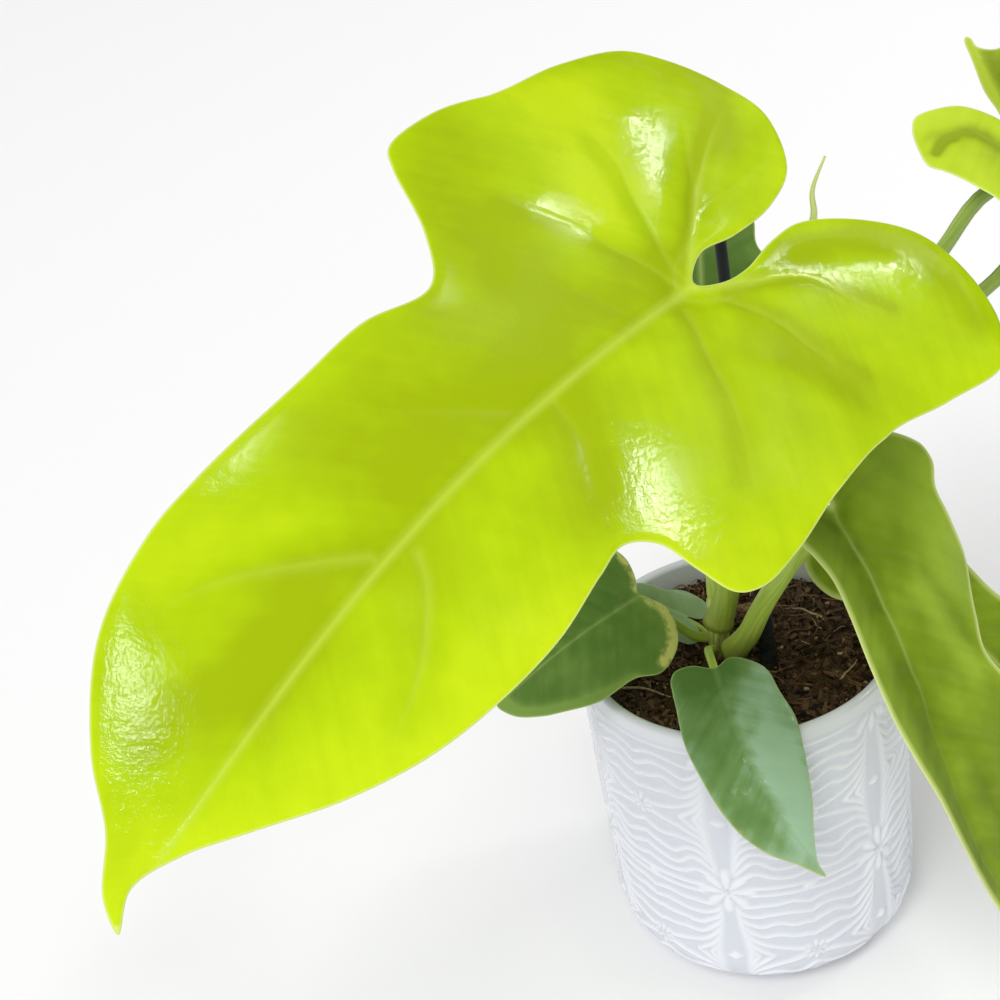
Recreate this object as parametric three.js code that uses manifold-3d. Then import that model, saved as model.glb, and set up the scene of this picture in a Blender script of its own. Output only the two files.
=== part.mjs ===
// Potted gold violin philodendron in a white ceramic pot.
// Millimetres, +Z up, origin at the centre of the pot's base on the surface it stands on.
import * as THREE from "three";
import Module from "manifold-3d";

const wasm = await Module();
wasm.setup();

// Gap kept between two pieces that touch, and the smallest detail kept where one is cut.
const GAP = 0.3;
const SIMPLEST = 0.02;

// Pot.
const POT_HEIGHT = 141;
const POT_RIM_RADIUS = 65;
const POT_TOP_RADIUS = 66;
const POT_FOOT_RADIUS = 64;
const POT_CORNER_RADIUS = 20;
const POT_WALL = 4.6;
const POT_FLOOR = 7;
const POT_COLUMNS = 80;
const POT_FOOT_ROWS = 4;
const POT_ROWS = 20;

// Inside of the pot, from its rim down to its floor: how far the wall lies within the rim's inner
// edge, and at what height.
const POT_INSIDE = [
  [0.2, 124],
  [2, 26],
  [8, 12],
  [18, POT_FLOOR],
];

// Relief on the pot: star flowers in a half-drop pattern, six columns around.
const FLOWER_COLUMNS = 6;
const FLOWER_TURN_DEGREES = -113;
const FLOWER_LOW_ROW = 61;
const FLOWER_ROW_STEP = 39;
const FLOWER_RADIUS = 15;
const FLOWER_PETALS = 8;
const FLOWER_RISE = 0.7;
const FLOW_LINES = 8;
const FLOW_RISE = 0.35;
const RELIEF_TOP = 134;
const RELIEF_BOTTOM = 12;

// Potting mix.
const SOIL_TOP = 130;
const SOIL_BUMP = 1.6;
const SOIL_SIDES = 44;

// Stake.
const STAKE_FOOT = [11, -9];
const STAKE_HEAD = [8, -9];
const STAKE_BOTTOM = 24;
const STAKE_TOP = 338;
const STAKE_RADIUS = 2.2;
const STAKE_FOOT_RADIUS = 3.8;

// Stem.
const STEM_PATH = [
  [-9, 4, 70],
  [-8, 5, 128],
  [-6, 6, 160],
  [-4, 9, 200],
  [-3, 10, 240],
];
const STEM_FOOT_RADIUS = 4.8;
const STEM_TIP_RADIUS = 3.3;
const STEM_NODES = [0.5, 0.66, 0.8, 0.92];
const STEM_NODE_SWELL = 0.6;

// Blades are this thick, apart from the midrib underneath.
const BLADE_THICKNESS = 0.8;
const MIDRIB_HEIGHT = 1.3;
const MIDRIB_WIDTH = 3.2;

// Half an outline of a plain violin-shaped leaf of length 1, from the notch at its stalk to its tip.
const VIOLIN_HALF = [
  [-0.04, 0.015],
  [-0.15, 0.045],
  [-0.23, 0.12],
  [-0.24, 0.21],
  [-0.16, 0.29],
  [0, 0.32],
  [0.15, 0.31],
  [0.26, 0.27],
  [0.36, 0.215],
  [0.5, 0.21],
  [0.66, 0.19],
  [0.82, 0.12],
  [0.93, 0.04],
];

// Each leaf: where its stalk meets the blade, the heading and slope of its midrib and its roll in
// degrees, its length and half width, and how it curves. In an outline the first number runs from
// the stalk to the tip and the second runs across.
const LEAVES = [
  {
    name: "golden",
    colour: "#b3d320",
    base: [-12, -69, 334],
    heading: -139,
    slope: -15,
    roll: 42,
    length: 263,
    halfWidth: 100,
    arch: 24,
    bow: 11,
    fold: [0.14, 0.14],
    droop: [0.1, 0.1],
    wave: 3,
    waveLength: 95,
    grid: 12,
    outline: [
      [263, -2], [259, 7], [247, 16], [235, 31], [213, 47], [186, 53], [165, 53],
      [126, 51], [99, 51], [74, 47], [60, 61], [48, 84], [42, 91], [22, 93],
      [-7, 87], [-37, 83], [-61, 73], [-72, 59], [-81, 40], [-85, 22], [-74, 4],
      [-54, -1], [-31, 1], [-13, 5], [-1, 0], [-9, -6], [-21, -9], [-40, -9],
      [-56, -12], [-75, -27], [-87, -46], [-87, -66], [-78, -85], [-63, -95],
      [-35, -88], [-3, -78], [32, -79], [58, -83], [76, -83], [85, -78],
      [88, -66], [90, -53], [98, -46], [110, -47], [133, -50], [157, -48],
      [180, -42], [202, -31], [224, -15], [239, -4], [253, 2],
    ],
    stalk: [[-7, 5, 146], [-1, 2, 168], [1, -4, 196], [1, -22, 242], [-5, -48, 297], [-13, -70, 333]],
    stalkRadius: [5.8, 2.8],
  },
  {
    name: "right",
    colour: "#8aa52a",
    base: [28, -64, 237],
    heading: -59,
    slope: -60,
    roll: 8,
    length: 176,
    halfWidth: 60,
    arch: 14,
    bow: 17,
    fold: [0.1, 0.35],
    droop: [0.2, 0.2],
    wave: 3,
    waveLength: 70,
    grid: 9,
    outline: [
      [177, -1], [163, 6], [148, 10], [134, 11], [118, 11], [102, 11], [84, 14],
      [70, 16], [51, 16], [33, 15], [20, 16], [10, 21], [4, 25], [-5, 28],
      [-14, 24], [-16, 10], [-10, 2], [-1, 0], [-9, -3], [-16, -12], [-16, -34], [-9, -53],
      [0, -62], [7, -62], [15, -55], [28, -57], [44, -61], [60, -51], [71, -44],
      [83, -47], [108, -58], [136, -53], [157, -34], [171, -15],
    ],
    stalk: [[-3, -4, 138], [2, -16, 154], [5, -24, 168], [10, -34, 186], [19, -44, 207], [29, -66, 236]],
    stalkRadius: [5.3, 3.4],
  },
  {
    name: "low_right",
    colour: "#5f8230",
    base: [56, -6, 169],
    heading: -51,
    slope: -30,
    roll: -18,
    length: 103,
    halfWidth: 30,
    arch: 8,
    bow: 0,
    fold: [0.15, 0.15],
    droop: [0.2, 0.2],
    wave: 1,
    waveLength: 45,
    grid: 7.5,
    outline: [
      [103, 1], [78, 11], [58, 15], [37, 14], [18, 15], [6, 20], [-2, 23],
      [-12, 22], [-21, 17], [-23, 10], [-18, 1], [-8, -1], [0, 0], [-6, -5],
      [-10, -15], [-3, -25], [14, -27], [29, -24], [44, -22], [54, -24],
      [71, -21], [91, -11],
    ],
    stalk: [[-4, 8, 178], [14, 11, 197], [38, 5, 193], [57, -8, 169]],
    stalkRadius: [2.6, 1.9],
  },
  {
    name: "upper_right",
    colour: "#b0c82c",
    base: [117, -14, 329],
    heading: -72,
    slope: -45,
    roll: -2,
    length: 105,
    halfWidth: 35,
    arch: 10,
    bow: 0,
    fold: [0.2, 0.2],
    droop: [0.3, 0.3],
    wave: 2,
    waveLength: 50,
    grid: 7.5,
    outline: [
      [105, 0], [95, 6], [80, 13], [61, 19], [41, 21], [23, 18], [11, 19],
      [2, 23], [-8, 28], [-13, 31], [-21, 30], [-29, 28], [-33, 25], [-33, 17],
      [-30, 7], [-20, -2], [-11, -2], [0, 0], [-10, -6], [-22, -10], [-30, -16],
      [-29, -26], [-20, -34], [-5, -36], [10, -33], [25, -27], [41, -24],
      [61, -21], [80, -14], [95, -6],
    ],
    stalk: [[-4, 9, 198], [26, 6, 226], [69, -6, 275], [87, -11, 302], [101, -10, 318], [118, -16, 328]],
    stalkRadius: [3.3, 2.9],
  },
  {
    name: "far_right",
    colour: "#93ab33",
    base: [148, 39, 319],
    heading: 51,
    slope: 54,
    roll: -33,
    length: 89,
    halfWidth: 35,
    arch: 8,
    bow: 0,
    fold: [0.2, 0.2],
    droop: [0.2, 0.2],
    wave: 2,
    waveLength: 50,
    grid: 7.5,
    outline: [
      [89, 0], [66, -15], [46, -23], [31, -25], [22, -29], [20, -37], [24, -42],
      [17, -39], [6, -31], [-1, -23], [-11, -15], [-14, -6], [-9, 0], [0, 0],
      [-10, 5], [-18, 12], [-17, 21], [-6, 28], [8, 34], [22, 40], [26, 36],
      [25, 28], [34, 23], [48, 22], [66, 16], [80, 6],
    ],
    stalk: [[-4, 10, 228], [38, 14, 243], [107, 5, 274], [132, 14, 296], [149, 38, 318]],
    stalkRadius: [3.1, 2.9],
  },
  {
    name: "back",
    colour: "#56822f",
    base: [6, 40, 262],
    heading: 78,
    slope: 5,
    roll: 0,
    length: 108,
    halfWidth: 40,
    arch: 14,
    bow: 0,
    fold: [0.2, 0.2],
    droop: [0.25, 0.25],
    wave: 2,
    waveLength: 50,
    grid: 8.5,
    stalk: [[-4, 10, 210], [-6, 20, 226], [-2, 32, 248], [6, 42, 261]],
    stalkRadius: [2.8, 2.1],
  },
  {
    name: "left",
    colour: "#547330",
    base: [-37, -3, 173],
    heading: -159,
    slope: -17,
    roll: 37,
    length: 71,
    halfWidth: 35,
    arch: 10,
    bow: 0,
    fold: [0.1, 0.1],
    droop: [0.3, 0.3],
    wave: 1.5,
    waveLength: 40,
    grid: 6.5,
    outline: [
      [71, 2], [73, 0], [70, -8], [62, -15], [55, -19], [41, -25], [24, -26],
      [14, -30], [3, -26], [-3, -19], [-5, -10], [-3, -5], [1, 0], [-3, 8],
      [-5, 17], [-3, 23], [6, 27], [24, 27], [41, 25], [55, 18], [65, 9],
    ],
    stalk: [[-9, 8, 137], [-17, 5, 142], [-23, 4, 149], [-30, 2, 159], [-38, -3, 172]],
    stalkRadius: [2.4, 1.9],
  },
  {
    name: "front",
    colour: "#6a9a63",
    base: [-16, -35, 155],
    heading: -68,
    slope: -43,
    roll: -15,
    length: 89,
    halfWidth: 30,
    arch: 20,
    bow: 8,
    fold: [0.05, 0.05],
    droop: [0.3, 0.3],
    wave: 1,
    waveLength: 40,
    grid: 6.5,
    outline: [
      [89, 0], [80, 6], [72, 12], [62, 16], [50, 18], [36, 19], [22, 20],
      [8, 19], [-2, 18], [-6, 14], [-5, 7], [0, 0], [-1, -7], [4, -15],
      [10, -20], [20, -22], [31, -24], [44, -21], [61, -14], [72, -7], [83, -1],
    ],
    stalk: [[-10, 3, 134], [-12.5, -5, 141], [-15, -16, 149], [-16, -28, 154], [-16, -38, 154]],
    stalkRadius: [2.2, 1.7],
  },
  {
    name: "small",
    colour: "#6f9468",
    base: [-18, 17, 143],
    heading: 155,
    slope: 22,
    roll: 31,
    length: 34,
    halfWidth: 12,
    arch: 3,
    bow: 0,
    fold: [0.1, 0.1],
    droop: [0.2, 0.2],
    wave: 0,
    waveLength: 40,
    grid: 5,
    stalk: [[-8, 7, 133], [-12, 14, 137], [-16, 17, 140], [-20, 18, 143]],
    stalkRadius: [1.3, 1.1],
  },
];

// New leaf, still rolled up.
const NEW_LEAF_PATH = [
  [-3, 10, 237],
  [10, 7, 262],
  [35, 10, 292],
  [48, 19, 309],
  [50, 26, 317],
  [57, 32, 327],
];
const NEW_LEAF_RADIUS = 2.9;

const radians = THREE.MathUtils.degToRad;

// A closed geometry from points and triangles given by their numbers.
function bodyOf(points, faces) {
  const geometry = new THREE.BufferGeometry();
  geometry.setAttribute("position", new THREE.Float32BufferAttribute(points.flat(), 3));
  geometry.setIndex(faces.flat());
  return geometry;
}

function toSolid(geometry) {
  return new wasm.Manifold(
    new wasm.Mesh({
      numProp: 3,
      vertProperties: geometry.getAttribute("position").array,
      triVerts: new Uint32Array(geometry.index.array),
    }),
  );
}

function toGeometry(solid) {
  const mesh = solid.getMesh();
  const geometry = new THREE.BufferGeometry();
  geometry.setAttribute("position", new THREE.BufferAttribute(mesh.vertProperties, 3));
  geometry.setIndex(new THREE.BufferAttribute(mesh.triVerts, 1));
  return geometry;
}

// The largest body that is left of a geometry once the tools are cut away.
function cutAway(geometry, tools) {
  let solid = toSolid(geometry);
  for (const tool of tools) {
    solid = solid.subtract(toSolid(tool));
  }
  const bodies = solid.simplify(SIMPLEST).decompose();
  bodies.sort((a, b) => b.volume() - a.volume());
  return toGeometry(bodies[0]);
}

// A closed body swept along a smooth path. radiusAt gives the radius at a share of the way.
function sweep(path, rings, sides, radiusAt) {
  const curve = new THREE.CatmullRomCurve3(path.map((p) => new THREE.Vector3(...p)));
  const reference = new THREE.Vector3(1, 0.2, 0);
  const points = [];
  const faces = [];
  for (let ring = 0; ring <= rings; ring += 1) {
    const share = ring / rings;
    const centre = curve.getPointAt(share);
    const tangent = curve.getTangentAt(share);
    const first = new THREE.Vector3().crossVectors(tangent, reference).normalize();
    const second = new THREE.Vector3().crossVectors(tangent, first);
    for (let side = 0; side < sides; side += 1) {
      const turn = (2 * Math.PI * side) / sides;
      const point = centre
        .clone()
        .addScaledVector(first, radiusAt(share) * Math.cos(turn))
        .addScaledVector(second, radiusAt(share) * Math.sin(turn));
      points.push(point.toArray());
    }
  }
  const start = points.length;
  points.push(curve.getPointAt(0).toArray());
  points.push(curve.getPointAt(1).toArray());
  for (let side = 0; side < sides; side += 1) {
    const next = (side + 1) % sides;
    for (let ring = 0; ring < rings; ring += 1) {
      const low = ring * sides;
      const high = low + sides;
      faces.push([low + side, low + next, high + side]);
      faces.push([low + next, high + next, high + side]);
    }
    const last = rings * sides;
    faces.push([start, next, side]);
    faces.push([start + 1, last + side, last + next]);
  }
  return bodyOf(points, faces);
}

// Relief of the pot

// Height of the pot's relief at a turn around it, in radians, and a height above the base.
function reliefAt(turn, height) {
  const pitch = (2 * Math.PI * POT_TOP_RADIUS) / FLOWER_COLUMNS;
  const x = (turn - radians(FLOWER_TURN_DEGREES)) * POT_TOP_RADIUS;
  let flow = 0;
  let star = 0;
  for (let row = -2; row <= 3; row += 1) {
    const dz = height - FLOWER_LOW_ROW - row * FLOWER_ROW_STEP;
    const shifted = x - (Math.abs(row) % 2) * (pitch / 2);
    const p = (Math.PI * shifted) / pitch;
    const q = (Math.PI * dz) / pitch;
    const angle = Math.atan2(Math.cos(p) * Math.sinh(q), Math.sin(p) * Math.cosh(q));
    flow += row % 2 === 0 ? angle : -angle;
    const dx = shifted - Math.round(shifted / pitch) * pitch;
    const distance = Math.hypot(dx, dz) / FLOWER_RADIUS;
    if (distance < 1) {
      const petals = 0.5 + 0.5 * Math.cos(FLOWER_PETALS * Math.atan2(dz, dx));
      star += petals * Math.sin(Math.PI * distance);
    }
  }
  const calm =
    THREE.MathUtils.smoothstep(height, RELIEF_BOTTOM, RELIEF_BOTTOM + 10) *
    (1 - THREE.MathUtils.smoothstep(height, RELIEF_TOP - 4, RELIEF_TOP));
  const lines = 0.5 + 0.5 * Math.cos(FLOW_LINES * flow);
  return calm * (FLOWER_RISE * star + FLOW_RISE * lines);
}

// Pot

// Outer radius of the plain pot at a height, with the rounded corner at its foot.
function potRadiusAt(height) {
  const share = height / POT_HEIGHT;
  const wall = POT_FOOT_RADIUS + (POT_TOP_RADIUS - POT_FOOT_RADIUS) * share;
  const below = Math.max(0, POT_CORNER_RADIUS - height) / POT_CORNER_RADIUS;
  return wall - POT_CORNER_RADIUS * (1 - Math.sqrt(1 - below * below));
}

// Rings of the pot from the middle of its base, up the outside, over the rim and down the inside.
function potRings() {
  const rings = [];
  rings.push({ radius: 22, height: 0, relief: false });
  rings.push({ radius: potRadiusAt(0) - 1, height: 0, relief: false });
  for (let row = 0; row < POT_FOOT_ROWS; row += 1) {
    const height = 0.4 + row * 2.6;
    rings.push({ radius: potRadiusAt(height), height, relief: false });
  }
  for (let row = POT_FOOT_ROWS; row <= POT_ROWS; row += 1) {
    const share = (row - POT_FOOT_ROWS) / (POT_ROWS - POT_FOOT_ROWS);
    const height = RELIEF_BOTTOM + share * (RELIEF_TOP - RELIEF_BOTTOM);
    rings.push({ radius: potRadiusAt(height), height, relief: true });
  }
  const middle = POT_RIM_RADIUS - POT_WALL / 2;
  rings.push({ radius: POT_RIM_RADIUS + 0.3, height: POT_HEIGHT - 3.2, relief: false });
  for (let step = 0; step <= 4; step += 1) {
    const turn = (Math.PI * step) / 4;
    rings.push({
      radius: middle + (POT_WALL / 2) * Math.cos(turn),
      height: POT_HEIGHT - POT_WALL / 2 + (POT_WALL / 2) * Math.sin(turn),
      relief: false,
    });
  }
  for (const [inset, height] of POT_INSIDE) {
    rings.push({ radius: POT_RIM_RADIUS - POT_WALL - inset, height, relief: false });
  }
  return rings;
}

function makePot() {
  const rings = potRings();
  const points = [];
  const faces = [];
  for (const { radius, height, relief } of rings) {
    for (let column = 0; column < POT_COLUMNS; column += 1) {
      const turn = (2 * Math.PI * column) / POT_COLUMNS;
      const r = radius + (relief ? reliefAt(turn, height) : 0);
      points.push([r * Math.cos(turn), r * Math.sin(turn), height]);
    }
  }
  const bottom = points.length;
  points.push([0, 0, 0]);
  points.push([0, 0, POT_FLOOR]);
  const last = (rings.length - 1) * POT_COLUMNS;
  for (let column = 0; column < POT_COLUMNS; column += 1) {
    const next = (column + 1) % POT_COLUMNS;
    for (let ring = 0; ring < rings.length - 1; ring += 1) {
      const low = ring * POT_COLUMNS;
      const high = low + POT_COLUMNS;
      faces.push([low + column, low + next, high + column]);
      faces.push([low + next, high + next, high + column]);
    }
    faces.push([bottom, next, column]);
    faces.push([bottom + 1, last + column, last + next]);
  }
  return bodyOf(points, faces);
}

// Potting mix

// Small uneven bumps of the potting mix, none at the pot's wall.
function soilBump(x, y) {
  const bump = Math.sin(x / 5.1 + 1.3) * Math.cos(y / 4.3) + 0.6 * Math.sin((x + 2 * y) / 7.7);
  const edge = Math.hypot(x, y) / (POT_RIM_RADIUS - POT_WALL);
  return SOIL_BUMP * bump * (1 - edge * edge);
}

function makeSoil(holes) {
  const inside = POT_RIM_RADIUS - POT_WALL - 2 * GAP;
  const sides = SOIL_SIDES;
  const profile = [];
  for (const [inset, height] of [...POT_INSIDE].reverse()) {
    profile.push({ radius: inside - inset, height: height + GAP, bumpy: false });
  }
  profile.push({ radius: inside, height: SOIL_TOP - 1, bumpy: false });
  for (const share of [0.92, 0.74, 0.56, 0.37, 0.18]) {
    profile.push({ radius: inside * share, height: SOIL_TOP, bumpy: true });
  }
  const points = [];
  const faces = [];
  for (const { radius, height, bumpy } of profile) {
    for (let side = 0; side < sides; side += 1) {
      const turn = (2 * Math.PI * side) / sides;
      const x = radius * Math.cos(turn);
      const y = radius * Math.sin(turn);
      points.push([x, y, height + (bumpy ? soilBump(x, y) : 0)]);
    }
  }
  const bottom = points.length;
  points.push([0, 0, POT_FLOOR + GAP]);
  points.push([0, 0, SOIL_TOP + soilBump(0, 0)]);
  const last = (profile.length - 1) * sides;
  for (let side = 0; side < sides; side += 1) {
    const next = (side + 1) % sides;
    for (let ring = 0; ring < profile.length - 1; ring += 1) {
      const low = ring * sides;
      const high = low + sides;
      faces.push([low + side, low + next, high + side]);
      faces.push([low + next, high + next, high + side]);
    }
    faces.push([bottom, next, side]);
    faces.push([bottom + 1, last + side, last + next]);
  }
  return cutAway(bodyOf(points, faces), holes);
}

// Stake and stem

// The stake is wider at its foot and has a blunt point at its lower end.
function makeStake(extra) {
  const path = [
    [...STAKE_FOOT, STAKE_BOTTOM - extra],
    [...STAKE_HEAD, STAKE_TOP + extra],
  ];
  const width = STAKE_FOOT_RADIUS - STAKE_RADIUS;
  return sweep(path, 16, 12, (share) => {
    const foot = 1 - THREE.MathUtils.smoothstep(share, 0.28, 0.6);
    const point = THREE.MathUtils.smoothstep(share, -0.03, 0.08);
    return (STAKE_RADIUS + width * foot) * point + extra;
  });
}

function makeStem(extra) {
  const path = STEM_PATH.map((point) => [...point]);
  path[0][2] -= extra;
  path.at(-1)[2] += extra;
  return sweep(path, 30, 10, (share) => {
    const taper = STEM_FOOT_RADIUS + (STEM_TIP_RADIUS - STEM_FOOT_RADIUS) * share;
    let swell = 0;
    for (const node of STEM_NODES) {
      swell += STEM_NODE_SWELL * Math.exp(-(((share - node) / 0.018) ** 2));
    }
    return taper + swell + extra;
  });
}

function makeNewLeaf() {
  return sweep(NEW_LEAF_PATH, 20, 8, (share) => {
    const body = Math.sin(Math.PI * Math.min(1, 0.22 + share * 0.78));
    return 0.45 + (NEW_LEAF_RADIUS - 0.45) * Math.max(0, body) ** 1.3;
  });
}

// Leaves

// The three directions of a leaf: along its midrib, across it and out of its upper face.
function directionsOf({ heading, slope, roll }) {
  const a = radians(heading);
  const b = radians(slope);
  const r = radians(roll);
  const along = new THREE.Vector3(
    Math.cos(b) * Math.cos(a),
    Math.cos(b) * Math.sin(a),
    Math.sin(b),
  );
  const level = new THREE.Vector3(Math.sin(a), -Math.cos(a), 0);
  const lift = new THREE.Vector3().crossVectors(level, along);
  const across = level.clone().multiplyScalar(Math.cos(r)).addScaledVector(lift, Math.sin(r));
  const out = lift.clone().multiplyScalar(Math.cos(r)).addScaledVector(level, -Math.sin(r));
  return { along, across, out };
}

// How far the blade's middle surface lies out of the leaf's plane.
function riseAt(leaf, s, w) {
  const side = w < 0 ? 0 : 1;
  const share = w / leaf.halfWidth;
  const phase = (2 * Math.PI * s) / leaf.waveLength + side * 1.5;
  return (
    leaf.arch * Math.sin((Math.PI * s) / leaf.length) +
    leaf.fold[side] * (Math.hypot(w, 4) - 4) -
    leaf.droop[side] * w * share +
    leaf.wave * Math.sin(phase) * share * share
  );
}

// A point of the blade's middle surface.
function surfaceAt(leaf, s, w) {
  const { along, across, out } = directionsOf(leaf);
  const bow = s > 0 ? leaf.bow * Math.sin((Math.PI * s) / leaf.length) : 0;
  return new THREE.Vector3(...leaf.base)
    .addScaledVector(along, s)
    .addScaledVector(across, w + bow)
    .addScaledVector(out, riseAt(leaf, s, w));
}

// The direction out of the blade's upper face at a point.
function faceAt(leaf, s, w) {
  const step = 0.5;
  const down = surfaceAt(leaf, s + step, w).sub(surfaceAt(leaf, s - step, w));
  const over = surfaceAt(leaf, s, w + step).sub(surfaceAt(leaf, s, w - step));
  return over.cross(down).normalize();
}

// Points of a leaf's edge in its own plane, evenly spaced.
function edgeOf(leaf) {
  const half = VIOLIN_HALF.map(([s, w]) => [s * leaf.length, w * leaf.length]);
  const mirrored = half.map(([s, w]) => [s, -w]).reverse();
  const plain = [[0, 0], ...half, [leaf.length, 0], ...mirrored];
  const outline = (leaf.outline ?? plain).map(([s, w]) => new THREE.Vector3(s, w, 0));
  const curve = new THREE.CatmullRomCurve3(outline, true, "centripetal");
  const count = Math.round(curve.getLength() / (leaf.grid * 0.62));
  return curve.getSpacedPoints(count).slice(0, count).map((p) => [p.x, p.y]);
}

function isInside([x, y], loop) {
  let inside = false;
  for (let i = 0; i < loop.length; i += 1) {
    const [ax, ay] = loop[i];
    const [bx, by] = loop[(i + 1) % loop.length];
    if (ay > y !== by > y && x < ((bx - ax) * (y - ay)) / (by - ay) + ax) {
      inside = !inside;
    }
  }
  return inside;
}

function nearest([x, y], loop) {
  return Math.min(...loop.map(([a, b]) => Math.hypot(a - x, b - y)));
}

// Points within the edge: a row along the midrib, one on each side of it, and a loose grid.
function innerPoints(leaf, edge) {
  const points = [];
  const rib = MIDRIB_WIDTH;
  for (let s = rib; s < leaf.length; s += leaf.grid) {
    points.push([s, 0], [s + leaf.grid * 0.47, rib], [s + leaf.grid * 0.53, -rib]);
  }
  const reach = leaf.length * 1.2;
  const rowStep = leaf.grid * 0.866;
  for (let row = -Math.ceil(reach / rowStep); row * rowStep < reach; row += 1) {
    for (let s = -reach; s < reach; s += leaf.grid) {
      const w = row * rowStep + 0.05 * Math.sin(3 * s + row);
      const shifted = s + (Math.abs(row) % 2) * leaf.grid * 0.5 + 0.05 * Math.cos(5 * row + s);
      if (shifted < 0 || Math.abs(w) > rib + leaf.grid * 0.5) {
        points.push([shifted, w]);
      }
    }
  }
  return points.filter((p) => isInside(p, edge) && nearest(p, edge) > leaf.grid * 0.45);
}

// Splits the leaf's plane into even triangles (Delaunay), kept where they lie within the edge.
function trianglesOf(points, edge) {
  const far = 1e4;
  const all = [...points, [-far, -far], [far, -far], [0, far]];
  const circleOf = (face) => {
    const [[ax, ay], [bx, by], [cx, cy]] = face.map((i) => all[i]);
    const d = 2 * ((bx - ax) * (cy - ay) - (cx - ax) * (by - ay));
    const b2 = (bx - ax) ** 2 + (by - ay) ** 2;
    const c2 = (cx - ax) ** 2 + (cy - ay) ** 2;
    const x = ((cy - ay) * b2 - (by - ay) * c2) / d;
    const y = ((bx - ax) * c2 - (cx - ax) * b2) / d;
    return { face, x: ax + x, y: ay + y, r2: x * x + y * y };
  };
  let circles = [circleOf([points.length, points.length + 1, points.length + 2])];
  points.forEach(([x, y], index) => {
    const rim = new Map();
    circles = circles.filter((c) => {
      if ((x - c.x) ** 2 + (y - c.y) ** 2 > c.r2) {
        return true;
      }
      c.face.forEach((from, k) => {
        const to = c.face[(k + 1) % 3];
        if (!rim.delete(`${to} ${from}`)) {
          rim.set(`${from} ${to}`, [from, to]);
        }
      });
      return false;
    });
    for (const [from, to] of rim.values()) {
      circles.push(circleOf([from, to, index]));
    }
  });
  return circles
    .map((c) => c.face)
    .filter((face) => face.every((i) => i < points.length))
    .filter((face) => {
      const x = face.reduce((sum, i) => sum + points[i][0], 0) / 3;
      const y = face.reduce((sum, i) => sum + points[i][1], 0) / 3;
      return isInside([x, y], edge);
    });
}

// The blade, or a thicker one when extra is given, to be cut out of the stalk.
function makeBlade(leaf, extra) {
  const edge = edgeOf(leaf);
  const flat = [...edge, ...innerPoints(leaf, edge)];
  const triangles = trianglesOf(flat, edge);
  const upper = [];
  const lower = [];
  for (const [s, w] of flat) {
    const middle = surfaceAt(leaf, s, w);
    const face = faceAt(leaf, s, w);
    const along = THREE.MathUtils.clamp(1 - s / leaf.length, 0, 1);
    const rib = s < 0 ? 0 : Math.exp(-((w / (MIDRIB_WIDTH * 0.6)) ** 2)) * along;
    const inner = Math.min(1, leaf.length / 120) * MIDRIB_HEIGHT * rib;
    const half = BLADE_THICKNESS / 2 + extra;
    upper.push(middle.clone().addScaledVector(face, half).toArray());
    lower.push(middle.clone().addScaledVector(face, -half - inner).toArray());
  }
  const count = flat.length;
  const faces = [];
  const open = new Map();
  for (const [a, b, c] of triangles) {
    faces.push([a, c, b], [a + count, b + count, c + count]);
    for (const [from, to] of [[a, b], [b, c], [c, a]]) {
      if (!open.delete(`${to} ${from}`)) {
        open.set(`${from} ${to}`, [from, to]);
      }
    }
  }
  for (const [from, to] of open.values()) {
    faces.push([from, to, from + count], [to, to + count, from + count]);
  }
  return bodyOf([...upper, ...lower], faces);
}

// The leaf's stalk, cut off just short of the stem and of its blade.
function makeStalk(leaf, stem) {
  const [foot, tip] = leaf.stalkRadius;
  const rings = Math.max(6, Math.round(leaf.length / 16));
  const body = sweep(leaf.stalk, rings, 9, (share) => {
    const sheath = 1 + 0.15 * Math.exp(-share * 9);
    return (foot + (tip - foot) * Math.sqrt(share)) * sheath;
  });
  const { along, across } = directionsOf(leaf);
  const tools = [stem];
  for (const shift of [[-GAP, 0], [0, GAP], [0, -GAP]]) {
    const tool = makeBlade(leaf, GAP);
    const move = along.clone().multiplyScalar(shift[0]).addScaledVector(across, shift[1]);
    tools.push(tool.translate(move.x, move.y, move.z));
  }
  return cutAway(body, tools);
}

// Assembly

const plant = new THREE.Group();
plant.name = "potted_gold_violin_philodendron";

function add(name, geometry, colour, roughness) {
  const material = new THREE.MeshStandardMaterial({ color: colour, roughness, metalness: 0 });
  const mesh = new THREE.Mesh(geometry, material);
  mesh.name = name;
  geometry.computeVertexNormals();
  plant.add(mesh);
}

const fatStem = makeStem(GAP);
add("pot", makePot(), "#e8eaf0", 0.35);
add("potting_mix", makeSoil([fatStem, makeStake(GAP)]), "#3a2415", 0.95);
add("support_stake", makeStake(0), "#16201f", 0.5);
add("stem", makeStem(0), "#7f8f3a", 0.55);
for (const leaf of LEAVES) {
  add(`${leaf.name}_blade`, makeBlade(leaf, 0), leaf.colour, 0.35);
  add(`${leaf.name}_stalk`, makeStalk(leaf, fatStem), "#8fa13c", 0.5);
}
add("new_leaf", cutAway(makeNewLeaf(), [fatStem]), "#c4cf72", 0.45);

export default plant;
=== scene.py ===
import math
import random

import bpy
import numpy as np
from mathutils import Matrix, Vector, geometry, noise


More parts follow.
